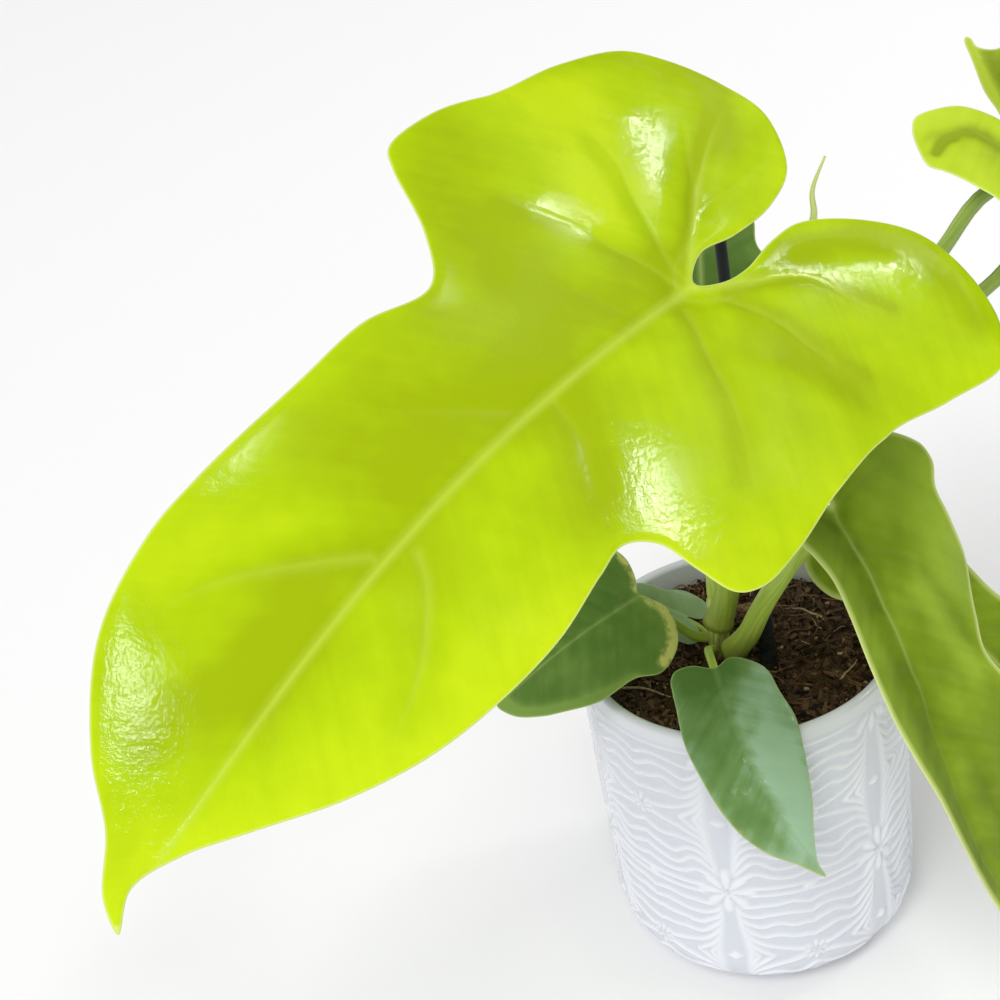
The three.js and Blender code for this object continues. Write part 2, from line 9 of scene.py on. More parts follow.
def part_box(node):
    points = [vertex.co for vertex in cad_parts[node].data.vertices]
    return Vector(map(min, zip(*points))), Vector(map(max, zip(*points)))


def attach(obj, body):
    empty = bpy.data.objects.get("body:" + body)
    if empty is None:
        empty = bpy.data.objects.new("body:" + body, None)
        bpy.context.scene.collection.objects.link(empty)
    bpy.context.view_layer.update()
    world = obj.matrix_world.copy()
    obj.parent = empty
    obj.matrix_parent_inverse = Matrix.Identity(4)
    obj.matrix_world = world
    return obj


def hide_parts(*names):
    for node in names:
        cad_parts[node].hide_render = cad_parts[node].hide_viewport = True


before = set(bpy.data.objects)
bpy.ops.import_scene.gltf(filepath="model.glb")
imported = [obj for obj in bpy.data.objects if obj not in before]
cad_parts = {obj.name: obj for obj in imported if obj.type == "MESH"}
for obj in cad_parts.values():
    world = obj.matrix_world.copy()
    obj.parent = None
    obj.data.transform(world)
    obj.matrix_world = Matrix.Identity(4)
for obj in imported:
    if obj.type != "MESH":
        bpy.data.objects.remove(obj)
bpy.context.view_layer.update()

MM = 0.001

# Pot, as in the solids: a round wall with a rounded foot and a rolled rim.
POT_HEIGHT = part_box("pot")[1].z / MM
POT_RIM_RADIUS = 65
POT_TOP_RADIUS = 66
POT_FOOT_RADIUS = 64
POT_CORNER_RADIUS = 20
POT_WALL = 4.6
# Radii and heights under the base, then insets and heights inside the wall.
POT_BASE = [(22, 0), (36, 0), (41, 0), (42, 0.5), (43.2, 0.1)]
POT_INSIDE = [(0.2, 124), (2, 26), (8, 12), (18, 7)]
# The wall starts this high, and the clay is bare below the second height.
WALL_START = 0.3
BARE_HEIGHT = 0.25
POT_COLUMNS = 480
POT_ROWS = 168
RIM_STEPS = 8

# Relief on the pot: star flowers in a half-drop pattern, joined by flowing lines.
FLOWER_COLUMNS = 6
FLOWER_TURN_DEGREES = -113
FLOWER_LOW_ROW = 61
FLOWER_ROW_STEP = 75
FLOWER_RADIUS = 13
FLOWER_PETALS = 8
FLOWER_RISE = 0.9
FLOWER_HOLLOW = 0.2
KNOT_RADIUS = 6
FLOW_LINES = 5
FLOW_WAVE = 0.09
FLOW_RISE = 0.95
FLOW_HOLLOW = 0.3
RIDGE_WIDTH = 1.05
GROOVE_HALF_WIDTH = 1.9
BEAD_SIZE = (4, 3)
BEAD_RISE = 1.0
RELIEF_TOP = 135
RELIEF_BOTTOM = 6
# What the glaze's painted light and shade take for the relief's height where the pot is plain.
PLAIN_RISE = 0.3
HALF_COLUMN = math.pi * POT_TOP_RADIUS / FLOWER_COLUMNS
HALF_ROW = FLOWER_ROW_STEP / 2

# Potting mix.
SOIL_TOP = 130
SOIL_BUMP = 1.6
SOIL_REACH = 58
SOIL_GAP = 0.6
SOIL_SIDES = 120
SOIL_TOP_RINGS = 40
CHIPS = 1500
CHIP_LENGTHS = (2.5, 8.5)
CHIP_SLIMNESS = (0.22, 0.6)
CHIP_THICKNESSES = (0.6, 2.2)
CRUMBS = 2600
CRUMB_LENGTHS = (0.7, 2.2)
FIBRES = 170
FIBRE_LENGTHS = (8, 26)
FIBRE_RADII = (0.22, 0.5)
FIBRE_CURL = 0.38
# Pale roots on the mix: a start, a heading and a length.
ROOTS = [((-52, -7), -0.44, 26), ((34, -30), 0.8, 15), ((38, 14), 2.4, 18)]
ROOT_RADIUS = 0.6
ROOT_CURL = 0.08
# How light the body of the mix, its chips, its crumbs, its fibres and its roots are, from 0 to 1,
# and for all but the first and last how much that varies.
BODY_TINT = 0.12
CHIP_TINT = (0.33, 0.17)
CRUMB_TINT = (0.45, 0.2)
FIBRE_TINT = (0.56, 0.16)
ROOT_TINT = 0.95

# Stake, stem and new leaf, as in the solids.
STAKE_PATH = [(11, -9, 24), (8, -9, 338)]
STAKE_RADIUS = 2.2
STAKE_FOOT_RADIUS = 3.8
STEM_PATH = [(-9, 4, 70), (-8, 5, 128), (-6, 6, 160), (-4, 9, 200), (-3, 10, 240)]
STEM_FOOT_RADIUS = 4.8
STEM_TIP_RADIUS = 3.3
STEM_NODES = [0.5, 0.66, 0.8, 0.92]
STEM_NODE_SWELL = 0.35
STEM_NODE_GROOVE = 0.35
NEW_LEAF_PATH = [(-3, 10, 237), (10, 7, 262), (35, 10, 292), (48, 19, 309), (50, 26, 317), (57, 32, 327)]
NEW_LEAF_RADIUS = 2.9

# How finely lines are drawn: steps between two given points, and millimetres along a sweep.
CURVE_STEPS = 16
SWEEP_STEP = 0.5

# Blades.
BLADE_THICKNESS = 0.8
EDGE_THICKNESS = 0.4
EDGE_INSET = 0.32
MIDRIB_HEIGHT = 1.3
MIDRIB_WIDTH = 3.2
MIDRIB_DEPTH = 0.8
VEIN_DEPTH = 0.32
VEIN_VALLEY_DEPTH = 0.55
VEIN_VALLEY_WIDTH = 7
# Painted shade: the blade's colour darkens where its veins lie deep, up to a depth. Painted light: it
# lightens near the rim, over a width.
VEIN_PAINTED_SHADE = 0.26
VEIN_PAINTED_SHADE_DEPTH = 1.2
RIM_PAINTED_LIGHT = 0.2
RIM_PAINTED_LIGHT_WIDTH = 6
# A leaf at least this long has a midrib and veins of full size.
FULL_RIB_LENGTH = 120
FULL_VEIN_LENGTH = 160
STALK_SIDES = 20
LEAST_STALK_RINGS = 24
STALK_GAP = 0.3
STALK_END_REACH = 16
SIDE_VEIN_SHARES = [0.08, 0.2, 0.33, 0.46, 0.6, 0.74]
BACK_VEIN_DEGREES = [98, 128, 156]

# Half an outline of a plain violin-shaped leaf of length 1, from the notch at its stalk to its tip.
VIOLIN_HALF = [
    (-0.04, 0.015), (-0.15, 0.045), (-0.23, 0.12), (-0.24, 0.21), (-0.16, 0.29), (0, 0.32),
    (0.15, 0.31), (0.26, 0.27), (0.36, 0.215), (0.5, 0.21), (0.66, 0.19), (0.82, 0.12), (0.93, 0.04),
]

# What a leaf is where LEAVES doesn't say otherwise. Step is the space between its mesh points.
PLAIN_LEAF = {
    "step": 1.25, "bow": 0, "fold": (0.2, 0.2), "droop": (0.2, 0.2), "wave": 2, "wave_length": 50,
    "midrib": 1, "midrib_width": 1, "midrib_line": [(0, 0), (1, 0)],
    "swells": [], "painted_light_and_tones": [], "aged": [], "shine": [], "stalk_tint": "pale",
}
# Each leaf, as in the solids: where its stalk meets the blade, the heading and slope of its midrib
# and its roll in degrees, its length and half width, and how it curves. In an outline, and in every
# path on a blade, the first number runs from the stalk to the tip and the second runs across.
# A vein is a strength and a path. A swell of the surface, a tone of the colour (painted light and shade
# for the most part, the leaf's own tone for the rest) and a stretch that is aged or shines more are an
# amount, a width and a path. A valley is a swell below zero.
LEAVES = [
    {
        "name": "golden", "slot": "leaf_gold", "palette": "gold", "step": 1.45,
        "base": (-12, -69, 334), "heading": -139, "slope": -15, "roll": 42,
        "length": 263, "half_width": 100, "arch": 24, "bow": 11,
        "fold": (0.14, 0.14), "droop": (0.1, 0.1), "wave": 3, "wave_length": 95,
        "midrib": 0.65,
        "outline": [
            (263, -2), (259, 7), (247, 16), (235, 31), (213, 47), (186, 53), (165, 53),
            (126, 51), (99, 51), (74, 47), (60, 61), (48, 84), (42, 91), (22, 93),
            (-7, 87), (-37, 83), (-61, 73), (-72, 59), (-81, 40), (-85, 22), (-74, 4),
            (-54, -1), (-31, 1), (-13, 5), (-1, 0), (-9, -6), (-21, -9), (-40, -9),
            (-56, -12), (-75, -27), (-87, -46), (-87, -66), (-78, -85), (-63, -95),
            (-35, -88), (-3, -78), (32, -79), (58, -83), (76, -83), (85, -78),
            (88, -66), (90, -53), (98, -46), (110, -47), (133, -50), (157, -48),
            (180, -42), (202, -31), (224, -15), (239, -4), (253, 2),
        ],
        "stalk": [(-7, 5, 146), (-1, 2, 168), (1, -4, 196), (1, -22, 242), (-5, -48, 297), (-13, -70, 333)],
        "stalk_radius": (5.8, 2.8),
        "veins": [
            (1.7, [(-1, 1), (-10, 7), (-26, 15), (-35, 20), (-42, 23), (-57, 29), (-72, 34), (-77, 38)]),
            (0.8, [(-34, 20), (-41, 28), (-49, 35), (-59, 46)]),
            (0.7, [(-28, 15), (-45, 13), (-63, 12), (-78, 13)]),
            (1.1, [(0, 4), (-2, 14), (-6, 23), (-11, 34), (-17, 44), (-19, 56), (-20, 68)]),
            (1.1, [(4, 4), (8, 15), (13, 25), (17, 36), (23, 46), (28, 55), (32, 63)]),
            (0.7, [(28, 1), (35, 16), (42, 26), (49, 35)]),
            (1.7, [(2, 0), (-7, -6), (-21, -14), (-32, -21), (-39, -29), (-42, -44), (-50, -59)]),
            (1.1, [(-2, -6), (-7, -16), (-11, -29), (-11, -40), (-12, -50), (-13, -60), (-13, -66)]),
            (1.1, [(11, -5), (15, -12), (23, -24), (29, -35), (36, -44), (44, -53), (58, -64)]),
            (0.9, [(74, -3), (79, -16), (87, -26), (96, -36)]),
            (1.3, [(139, -5), (144, -12), (151, -18), (160, -24), (169, -28), (181, -31), (194, -32)]),
            (1.3, [(149, 4), (158, 12), (169, 21), (178, 28), (186, 33), (194, 37), (206, 42)]),
            (0.8, [(84, 2), (98, 14), (112, 25), (130, 35)]),
            (0.7, [(196, -1), (206, -9), (216, -13)]),
        ],
        "swells": [
            (-0.4, 9, [(32, 71), (38, 62), (46, 49), (50, 42)]),
            (-0.7, 8, [(-46, -14), (-62, -27), (-72, -38), (-77, -58), (-71, -77)]),
            (-0.6, 8, [(4, -5), (8, -26), (-3, -44), (-8, -63)]),
            (-0.8, 6, [(-64, 66), (-66, 57), (-64, 50), (-65, 44)]),
            (0.5, 8, [(-29, -19), (-41, -25), (-53, -33), (-65, -45)]),
            (0.6, 7, [(19, 48), (15, 33)]),
            (0.4, 7, [(-34, 70), (-38, 56)]),
        ],
        # Painted shade in the valleys, beside the veins and under the curled top edge, and painted light on
        # lighter stretches such as the lower edge.
        "painted_light_and_tones": [
            (-0.4, 14, [(8, 10), (60, 11), (120, 11), (199, 9)]),
            (-0.35, 9, [(176, 6), (198, 12), (213, 17), (224, 20)]),
            (0.3, 8, [(193, 46), (176, 38), (157, 24), (141, 12)]),
            (-0.3, 24, [(84, 42), (105, 34), (130, 30)]),
            (-0.45, 20, [(26, 90), (42, 75), (48, 56), (50, 38)]),
            (-0.45, 9, [(-37, -16), (-52, -22), (-67, -30), (-79, -41), (-80, -56), (-74, -80)]),
            (-0.3, 7, [(0, -26), (-2, -38), (-3, -49), (-6, -62)]),
            (-0.5, 3, [(-4, -2), (-10, -9), (-24, -18), (-36, -27), (-44, -40), (-50, -54)]),
            (-0.5, 3, [(-6, 8), (-24, 17), (-40, 25), (-56, 31), (-70, 36)]),
            (-0.3, 4, [(-6, -12), (-14, -28), (-16, -44), (-17, -60)]),
            (-0.3, 4, [(14, -7), (26, -24), (40, -42), (54, -56)]),
            (-0.3, 4, [(2, 8), (-2, 24), (-8, 38), (-14, 56)]),
            (-0.3, 4, [(11, 14), (20, 36), (31, 56)]),
            (-0.5, 14, [(74, -8), (88, -30), (104, -44)]),
            (-0.4, 9, [(-71, 52), (-72, 44), (-70, 35), (-61, 26)]),
            (-0.5, 6, [(-20, 86), (-38, 82), (-60, 72), (-71, 59), (-80, 41)]),
            (0.6, 18, [(-20, 78), (-10, 50), (0, 36)]),
            (0.35, 16, [(88, -78), (92, -52), (133, -48), (180, -40), (224, -14), (260, 0)]),
        ],
        "shine": [
            (1.0, 8, [(-42, 50), (-36, 42), (-27, 31), (-20, 20)]),
            (1.0, 6, [(20, 50), (17, 41), (14, 32)]),
            (0.5, 6, [(-34, 72), (-37, 58)]),
            (0.8, 4, [(-31, 18), (-29, 12)]),
            (1.0, 7, [(-32, -17), (-41, -25), (-53, -33), (-63, -44), (-69, -52)]),
            (1.0, 10, [(72, -26), (77, -36), (83, -47), (82, -58)]),
            (1.0, 14, [(216, 40), (226, 24), (248, 10)]),
            (0.8, 5, [(71, 47), (66, 52)]),
            (1.0, 5, [(142, 53), (152, 50), (163, 50)]),
        ],
    },
    {
        "name": "right", "slot": "leaf_olive", "palette": "olive", "step": 1.35,
        "base": (28, -64, 237), "heading": -59, "slope": -60, "roll": 8,
        "length": 176, "half_width": 60, "arch": 14, "bow": 17,
        "fold": (0.1, 0.35), "wave": 3, "wave_length": 70,
        "outline": [
            (177, -1), (163, 6), (148, 10), (134, 11), (118, 11), (102, 11), (84, 14),
            (70, 16), (51, 16), (33, 15), (20, 16), (10, 21), (4, 25), (-5, 28),
            (-14, 24), (-16, 10), (-10, 2), (-1, 0), (-9, -3), (-16, -12), (-16, -34),
            (-9, -53), (0, -62), (7, -62), (15, -55), (28, -57), (44, -61), (60, -51),
            (71, -44), (83, -47), (108, -58), (136, -53), (157, -34), (171, -15),
        ],
        "stalk": [
            (-3, -4, 138), (2, -16, 154), (5, -24, 168), (10, -34, 186), (19, -44, 207), (29, -66, 236),
        ],
        "stalk_radius": (5.3, 3.4),
        "midrib": 0.6, "midrib_width": 0.5, "midrib_fade": (35, 85),
        "midrib_line": [
            (0, -0.5), (24, -4.7), (45, -5.6), (66, -5), (81, -2.7), (101, 0), (114, 2), (131, 4), (176, 0),
        ],
        "swells": [
            (-0.5, 6, [(38, -32), (51, -37), (63, -40), (72, -41)]),
            (-0.6, 5, [(78, -6), (90, -12), (109, -13), (130, -14)]),
        ],
        # Painted shade in the fold beside the midrib and in the side folds, and painted light on the
        # lighter stretches.
        "painted_light_and_tones": [
            (-0.3, 5, [(20, -1), (40, -1), (60, 0), (81, 3), (101, 6), (118, 8), (140, 9)]),
            (-0.1, 4, [(36, -31), (51, -37), (63, -40), (72, -41)]),
            (-0.1, 4, [(78, -6), (90, -12), (109, -13), (130, -14)]),
            (0.3, 6, [(40, -24), (56, -29), (74, -33)]),
            (0.1, 22, [(90, -30), (130, -30), (160, -14)]),
            (0.45, 18, [(-4, -24), (6, -46), (40, -40)]),
        ],
    },
    {
        "name": "low_right", "slot": "leaf_green", "palette": "olive",
        "base": (56, -6, 169), "heading": -51, "slope": -30, "roll": -18,
        "length": 103, "half_width": 30, "arch": 8,
        "fold": (0.15, 0.15), "wave": 1, "wave_length": 45,
        "outline": [
            (103, 1), (78, 11), (58, 15), (37, 14), (18, 15), (6, 20), (-2, 23),
            (-12, 22), (-21, 17), (-23, 10), (-18, 1), (-8, -1), (0, 0), (-6, -5),
            (-10, -15), (-3, -25), (14, -27), (29, -24), (44, -22), (54, -24),
            (71, -21), (91, -11),
        ],
        "stalk": [(-4, 8, 178), (14, 11, 197), (38, 5, 193), (57, -8, 169)],
        "stalk_radius": (2.6, 1.9),
    },
    {
        "name": "upper_right", "slot": "leaf_lime", "palette": "lime",
        "base": (117, -14, 329), "heading": -72, "slope": -45, "roll": -2,
        "length": 105, "half_width": 35, "arch": 10, "droop": (0.3, 0.3),
        "outline": [
            (105, 0), (95, 6), (80, 13), (61, 19), (41, 21), (23, 18), (11, 19),
            (2, 23), (-8, 28), (-13, 31), (-21, 30), (-29, 28), (-33, 25), (-33, 17),
            (-30, 7), (-20, -2), (-11, -2), (0, 0), (-10, -6), (-22, -10), (-30, -16),
            (-29, -26), (-20, -34), (-5, -36), (10, -33), (25, -27), (41, -24),
            (61, -21), (80, -14), (95, -6),
        ],
        "swells": [
            (-0.8, 3, [(-17, 26), (-20, 21), (-20, 17)]),
            (-0.6, 4, [(-24, 26), (-22, 15), (-15, 4)]),
            (0.6, 6, [(-12, 20), (-4, 18)]),
        ],
        # Painted shade in the curled dimple of the back lobe.
        "painted_light_and_tones": [
            (-0.8, 2, [(-17, 26), (-20, 21), (-20, 18)]),
            (-0.55, 3.5, [(-20, 12), (-15, 8), (-10, 6)]),
            (-0.2, 2.5, [(-21, 30), (-24, 26), (-22, 15)]),
        ],
        "stalk": [
            (-4, 9, 198), (26, 6, 226), (69, -6, 275), (87, -11, 302), (101, -10, 318), (118, -16, 328),
        ],
        "stalk_radius": (3.3, 2.9), "stalk_tint": "deep",
    },
    {
        "name": "far_right", "slot": "leaf_lime", "palette": "shaded_lime",
        "base": (148, 39, 319), "heading": 51, "slope": 54, "roll": -33,
        "length": 89, "half_width": 35, "arch": 8,
        "outline": [
            (89, 0), (66, -15), (46, -23), (31, -25), (22, -29), (21, -37), (24, -40), (24, -42),
            (22, -42), (17, -39), (6, -31), (-1, -23), (-11, -15), (-14, -6), (-9, 0), (0, 0),
            (-10, 5), (-18, 12), (-17, 21), (-6, 28), (8, 34), (22, 40), (26, 36),
            (25, 28), (34, 23), (48, 22), (66, 16), (80, 6),
        ],
        "painted_light_and_tones": [
            (0.9, 2.5, [(23, -41), (16, -37), (7, -29), (2, -24)]),
            (-0.5, 4, [(18, -32), (12, -27), (5, -20)]),
        ],
        "stalk": [(-4, 10, 228), (38, 14, 243), (107, 5, 274), (132, 14, 296), (149, 38, 318)],
        "stalk_radius": (3.1, 2.9), "stalk_tint": "deep",
    },
    {
        "name": "back", "slot": "leaf_green", "palette": "green",
        "base": (6, 40, 262), "heading": 78, "slope": 5, "roll": 0,
        "length": 108, "half_width": 40, "arch": 14, "droop": (0.25, 0.25),
        "stalk": [(-4, 10, 210), (-6, 20, 226), (-2, 32, 248), (6, 42, 261)],
        "stalk_radius": (2.8, 2.1),
    },
    {
        "name": "left", "slot": "leaf_green", "palette": "green", "step": 1.1,
        "base": (-37, -3, 173), "heading": -159, "slope": -17, "roll": 37,
        "length": 71, "half_width": 35, "arch": 10,
        "fold": (0.1, 0.1), "droop": (0.3, 0.3), "wave": 1.5, "wave_length": 40,
        "outline": [
            (71, 2), (73, 0), (70, -8), (62, -15), (55, -19), (41, -25), (24, -26),
            (14, -30), (3, -26), (-3, -19), (-5, -10), (-3, -5), (1, 0), (-3, 8),
            (-5, 17), (-3, 23), (6, 27), (24, 27), (41, 25), (55, 18), (65, 9),
        ],
        "stalk": [(-9, 8, 137), (-17, 5, 142), (-23, 4, 149), (-30, 2, 159), (-38, -3, 172)],
        "stalk_radius": (2.4, 1.9),
        "aged": [
            (1.0, 3.2, [(-2, -4), (-4, -8), (-3, -14), (0, -21), (5, -25), (10, -27)]),
            (0.7, 2.6, [(-4, 21), (-4, 17), (-3, 9), (0, 3)]),
        ],
        "painted_light_and_tones": [(0.8, 2.6, [(70, 1), (67, -9), (54, -18), (39, -24), (24, -27)])],
        "midrib": 0.6,
    },
    {
        "name": "front", "slot": "leaf_blue_green", "palette": "blue_green", "step": 1.1,
        "base": (-16, -35, 155), "heading": -68, "slope": -43, "roll": -15,
        "length": 89, "half_width": 30, "arch": 20, "bow": 8,
        "fold": (0.05, 0.05), "droop": (0.3, 0.3), "wave": 1, "wave_length": 40,
        "outline": [
            (89, 0), (80, 6), (72, 12), (62, 16), (50, 18), (36, 19), (22, 20),
            (8, 19), (-2, 18), (-6, 14), (-5, 7), (0, 0), (-1, -7), (4, -15),
            (10, -20), (20, -22), (31, -24), (44, -21), (61, -14), (72, -7), (83, -1),
        ],
        "stalk": [(-10, 3, 134), (-12.5, -5, 141), (-15, -16, 149), (-16, -28, 154), (-16, -38, 154)],
        "stalk_radius": (2.2, 1.7),
        # Painted sheen: the lighter tones over the right half. The darker tones lie on the left half and at
        # the base.
        "painted_light_and_tones": [
            (-0.15, 9, [(4, 11), (30, 12), (60, 9)]),
            (-0.9, 8, [(2, -6), (-2, 8)]),
            (0.36, 11, [(16, -11), (44, -12), (68, -7)]),
            (0.42, 8, [(38, -8), (58, -8), (76, -2)]),
        ],
        "aged": [(0.45, 3, [(38, 20), (56, 18), (72, 13), (82, 5), (90, 0)])],
        "midrib": 0.4,
    },
    {
        "name": "small", "slot": "leaf_blue_green", "palette": "pale_green", "step": 0.9,
        "base": (-18, 17, 143), "heading": 155, "slope": 22, "roll": 31,
        "length": 34, "half_width": 12, "arch": 3, "fold": (0.1, 0.1), "wave": 0,
        "stalk": [(-8, 7, 133), (-12, 14, 137), (-16, 17, 140), (-20, 18, 143)],
        "stalk_radius": (1.3, 1.1),
    },
]

# Leaf colours: the blade's main, darker and lighter colour, between which the tone mixes, its veins,
# its thin pale rim, which is painted light on the blade's edge, its underside and where it is aged.
PALETTES = {
    "gold": ("#adcb0a", "#9eb508", "#c3dc14", "#c6dc50", "#dbe890", "#aec45a", "#c9a94a"),
    "olive": ("#7a9421", "#5a7012", "#99b534", "#b4c466", "#ecf2a4", "#93a454", "#b79a4a"),
    "lime": ("#adc62a", "#8b9f22", "#bfd43a", "#c8da74", "#e2eeb0", "#afc468", "#c9a94a"),
    "shaded_lime": ("#8fa32c", "#778a22", "#a9bd38", "#b8c868", "#d6e29a", "#a3b65e", "#c9a94a"),
    "green": ("#5b7b36", "#466628", "#7c9a4a", "#9db467", "#b9ca7e", "#7e9a58", "#c8ca74"),
    # The blue-green leaf's lighter colour is a painted grey-green sheen.
    "blue_green": ("#719458", "#587b3a", "#9abb9a", "#8aab74", "#b9cd84", "#86a878", "#a8b456"),
    "pale_green": ("#90aa7c", "#7a9668", "#a2bc96", "#aac494", "#bfd29c", "#93ad84", "#c2a04a"),
}
WITHERED = "#8a6834"
MOTTLING = 0.16
# Stalk colours: the main colour, the line along its upper edges and its streaks.
STALK_TINTS = {
    "pale": ("#b0c84e", "#c2d276", "#94ac3e"),
    # The deep tint is the pale one made darker: painted shade on the upper stalks.
    "deep": ("#93aa4a", "#a6bc66", "#7c943e"),
}
# How glossy a leaf of a palette is, how deep its skin is crinkled in millimetres, how strongly its
# tone changes from streak to streak and from blotch to blotch, where an aged stretch turns brown,
# and how wide the pale rim of painted light is.
FINISHES = {
    "gold": (0.02, 0.15, 0.06, 0.05, 0.3, 0.9),
    "olive": (0.02, 0.2, 0.06, 0.04, 0.3, 3.0),
    "lime": (0.25, 0.15, 0.08, 0.05, 0.3, 0.9),
    "shaded_lime": (0.2, 0.15, 0.1, 0.1, 0.3, 0.9),
    "green": (0.05, 0.3, 0.06, 0.06, 0.22, 0.9),
    # On the blue-green leaf the streaks and blotches of tone also paint pale wisps of sheen.
    "blue_green": (0.3, 0.6, 0.13, 0.1, 0.0, 0.9),
    "pale_green": (0.15, 0.3, 0.1, 0.1, 0.0, 0.9),
}

# The photo's camera: where it stands, how far it looks down and how far it is turned on its axis.
CAMERA_PLACE = (-85.3, -567.7, 572.7)
CAMERA_DOWN_DEGREES = 31.33
CAMERA_ROLL_DEGREES = 11.01
CAMERA_LENS = 62.28

# Light: a white room, brighter on its left side and evenly pale near the floor, a soft key light,
# and windows that make the highlights. The key light is a name, a kind, an azimuth, an elevation, a
# distance in metres and a power. A window is a name, an azimuth, an elevation, a size and a power.
LIGHT_TARGET = (0, -60, 220)
ROOM_STRENGTH = (0.74, 0.12)
LOW_ROOM_STRENGTH = 0.8
LOW_ROOM_TOP = (0.08, 0.3)
KEY_LIGHT = ("key", "SUN", -30, 50, 3, 1.9)
KEY_SOFTNESS_DEGREES = 35
WINDOWS = [
    ("side_window", 96.5, 43.8, 0.45, 14),
    ("high_window", 115.5, 34.5, 0.2, 5),
    ("low_window", 107.5, 39.6, 0.22, 4),
    ("front_window", 2, 38, 0.36, 7),
    ("edge_window", 43.5, 58, 0.32, 6),
    ("skylight", 50, 66, 3.0, 9),
]
WINDOW_DISTANCE = 4
FLOOR_REACH = 6
FLOOR_COLOUR = (0.92, 0.92, 0.92, 1)


# Lines and values in a plane

def smooth_step(value, low, high):
    """0 up to low and 1 from high on, with a soft rise between."""
    t = np.clip((value - low) / (high - low), 0, 1)
    return t * t * (3 - 2 * t)


def hill(value, width):
    """1 where a value is zero, fading away on both sides over a width."""
    return np.exp(-((value / width) ** 2))


def unit(rows):
    """Each row as a direction of length 1."""
    return rows / np.maximum(np.linalg.norm(rows, axis=1), 1e-9)[:, None]


def loop_of(edge):
    return np.vstack([edge, edge[0]])


def smooth_curve(points, closed=False):
    """Points along a centripetal Catmull-Rom curve through the given points."""
    p = np.asarray(points, float)
    if closed:
        padded = np.vstack([p[-1], p, p[0], p[1]])
    else:
        padded = np.vstack([2 * p[0] - p[1], p, 2 * p[-1] - p[-2]])
    t = np.linspace(0, 1, CURVE_STEPS, endpoint=False)[:, None]
    spans = []
    for a, b, c, d in zip(padded, padded[1:], padded[2:], padded[3:]):
        ab, bc, cd = (max(math.sqrt(np.linalg.norm(v)), 1e-3) for v in (b - a, c - b, d - c))
        start = ((b - a) / ab - (c - a) / (ab + bc) + (c - b) / bc) * bc
        end = ((c - b) / bc - (d - b) / (bc + cd) + (d - c) / cd) * bc
        square = -3 * b + 3 * c - 2 * start - end
        cube = 2 * b - 2 * c + start + end
        spans.append(b + start * t + square * t ** 2 + cube * t ** 3)
    line = np.vstack(spans)
    return line if closed else np.vstack([line, p[-1]])


def evenly(line, step, closed=False):
    """The same line with its points a step apart."""
    if closed:
        line = loop_of(line)
    reach = np.concatenate([[0], np.cumsum(np.linalg.norm(np.diff(line, axis=0), axis=1))])
    count = max(2, round(reach[-1] / step))
    at = np.linspace(0, reach[-1], count + 1)
    if closed:
        at = at[:-1]
    return np.column_stack([np.interp(at, reach, column) for column in line.T])


def distance_to(points, line):
    """How far each point is from a line, and the share of the line's length at its nearest place."""
    best = np.full(len(points), np.inf)
    share = np.zeros(len(points))
    lengths = np.linalg.norm(np.diff(line, axis=0), axis=1)
    before = 0.0
    for start, end, length in zip(line, line[1:], lengths):
        direction = (end - start) / length
        along = np.clip((points - start) @ direction, 0, length)
        gap = np.linalg.norm(points - start - along[:, None] * direction, axis=1)
        nearer = gap < best
        best[nearer] = gap[nearer]
        share[nearer] = (before + along[nearer]) / lengths.sum()
        before += length
    return best, share


def is_inside(points, loop):
    """Whether each point lies inside a loop."""
    x, y = points.T
    inside = np.zeros(len(points), bool)
    for (ax, ay), (bx, by) in zip(loop, np.roll(loop, -1, axis=0)):
        if ay != by:
            crosses = ((ay > y) != (by > y)) & (x < (bx - ax) * (y - ay) / (by - ay) + ax)
            inside ^= crosses
    return inside


# Meshes

def make_piece(name, points, faces, material, node, marks, smooth=True):
    """A mesh that rides with the plant and takes a node's place. Marks are named values of its
    points for the material."""
    mesh = bpy.data.meshes.new(name)
    mesh.from_pydata((np.asarray(points) * MM).tolist(), [], [list(map(int, f)) for f in faces])
    mesh.polygons.foreach_set("use_smooth", [smooth] * len(mesh.polygons))
    for key, values in marks.items():
        values = np.asarray(values, np.float32)
        is_number = values.ndim == 1
        attribute = mesh.attributes.new(key, "FLOAT" if is_number else "FLOAT_VECTOR", "POINT")
        attribute.data.foreach_set("value" if is_number else "vector", values.ravel())
    mesh.materials.append(material)
    piece = bpy.data.objects.new(name, mesh)
    bpy.context.scene.collection.objects.link(piece)
    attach(piece, "root")
    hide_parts(node)


def tube_faces(rings, sides):
    """Faces between rings of points that follow each other, and a cap at each end."""
    ring, side = np.meshgrid(np.arange(rings - 1), np.arange(sides), indexing="ij")
    low = ring * sides
    after = (side + 1) % sides
    quads = np.stack([low + side, low + after, low + sides + after, low + sides + side], axis=-1)
    faces = quads.reshape(-1, 4).tolist()
    faces.append(list(range(sides))[::-1])
    faces.append(list(range((rings - 1) * sides, rings * sides)))
    return faces


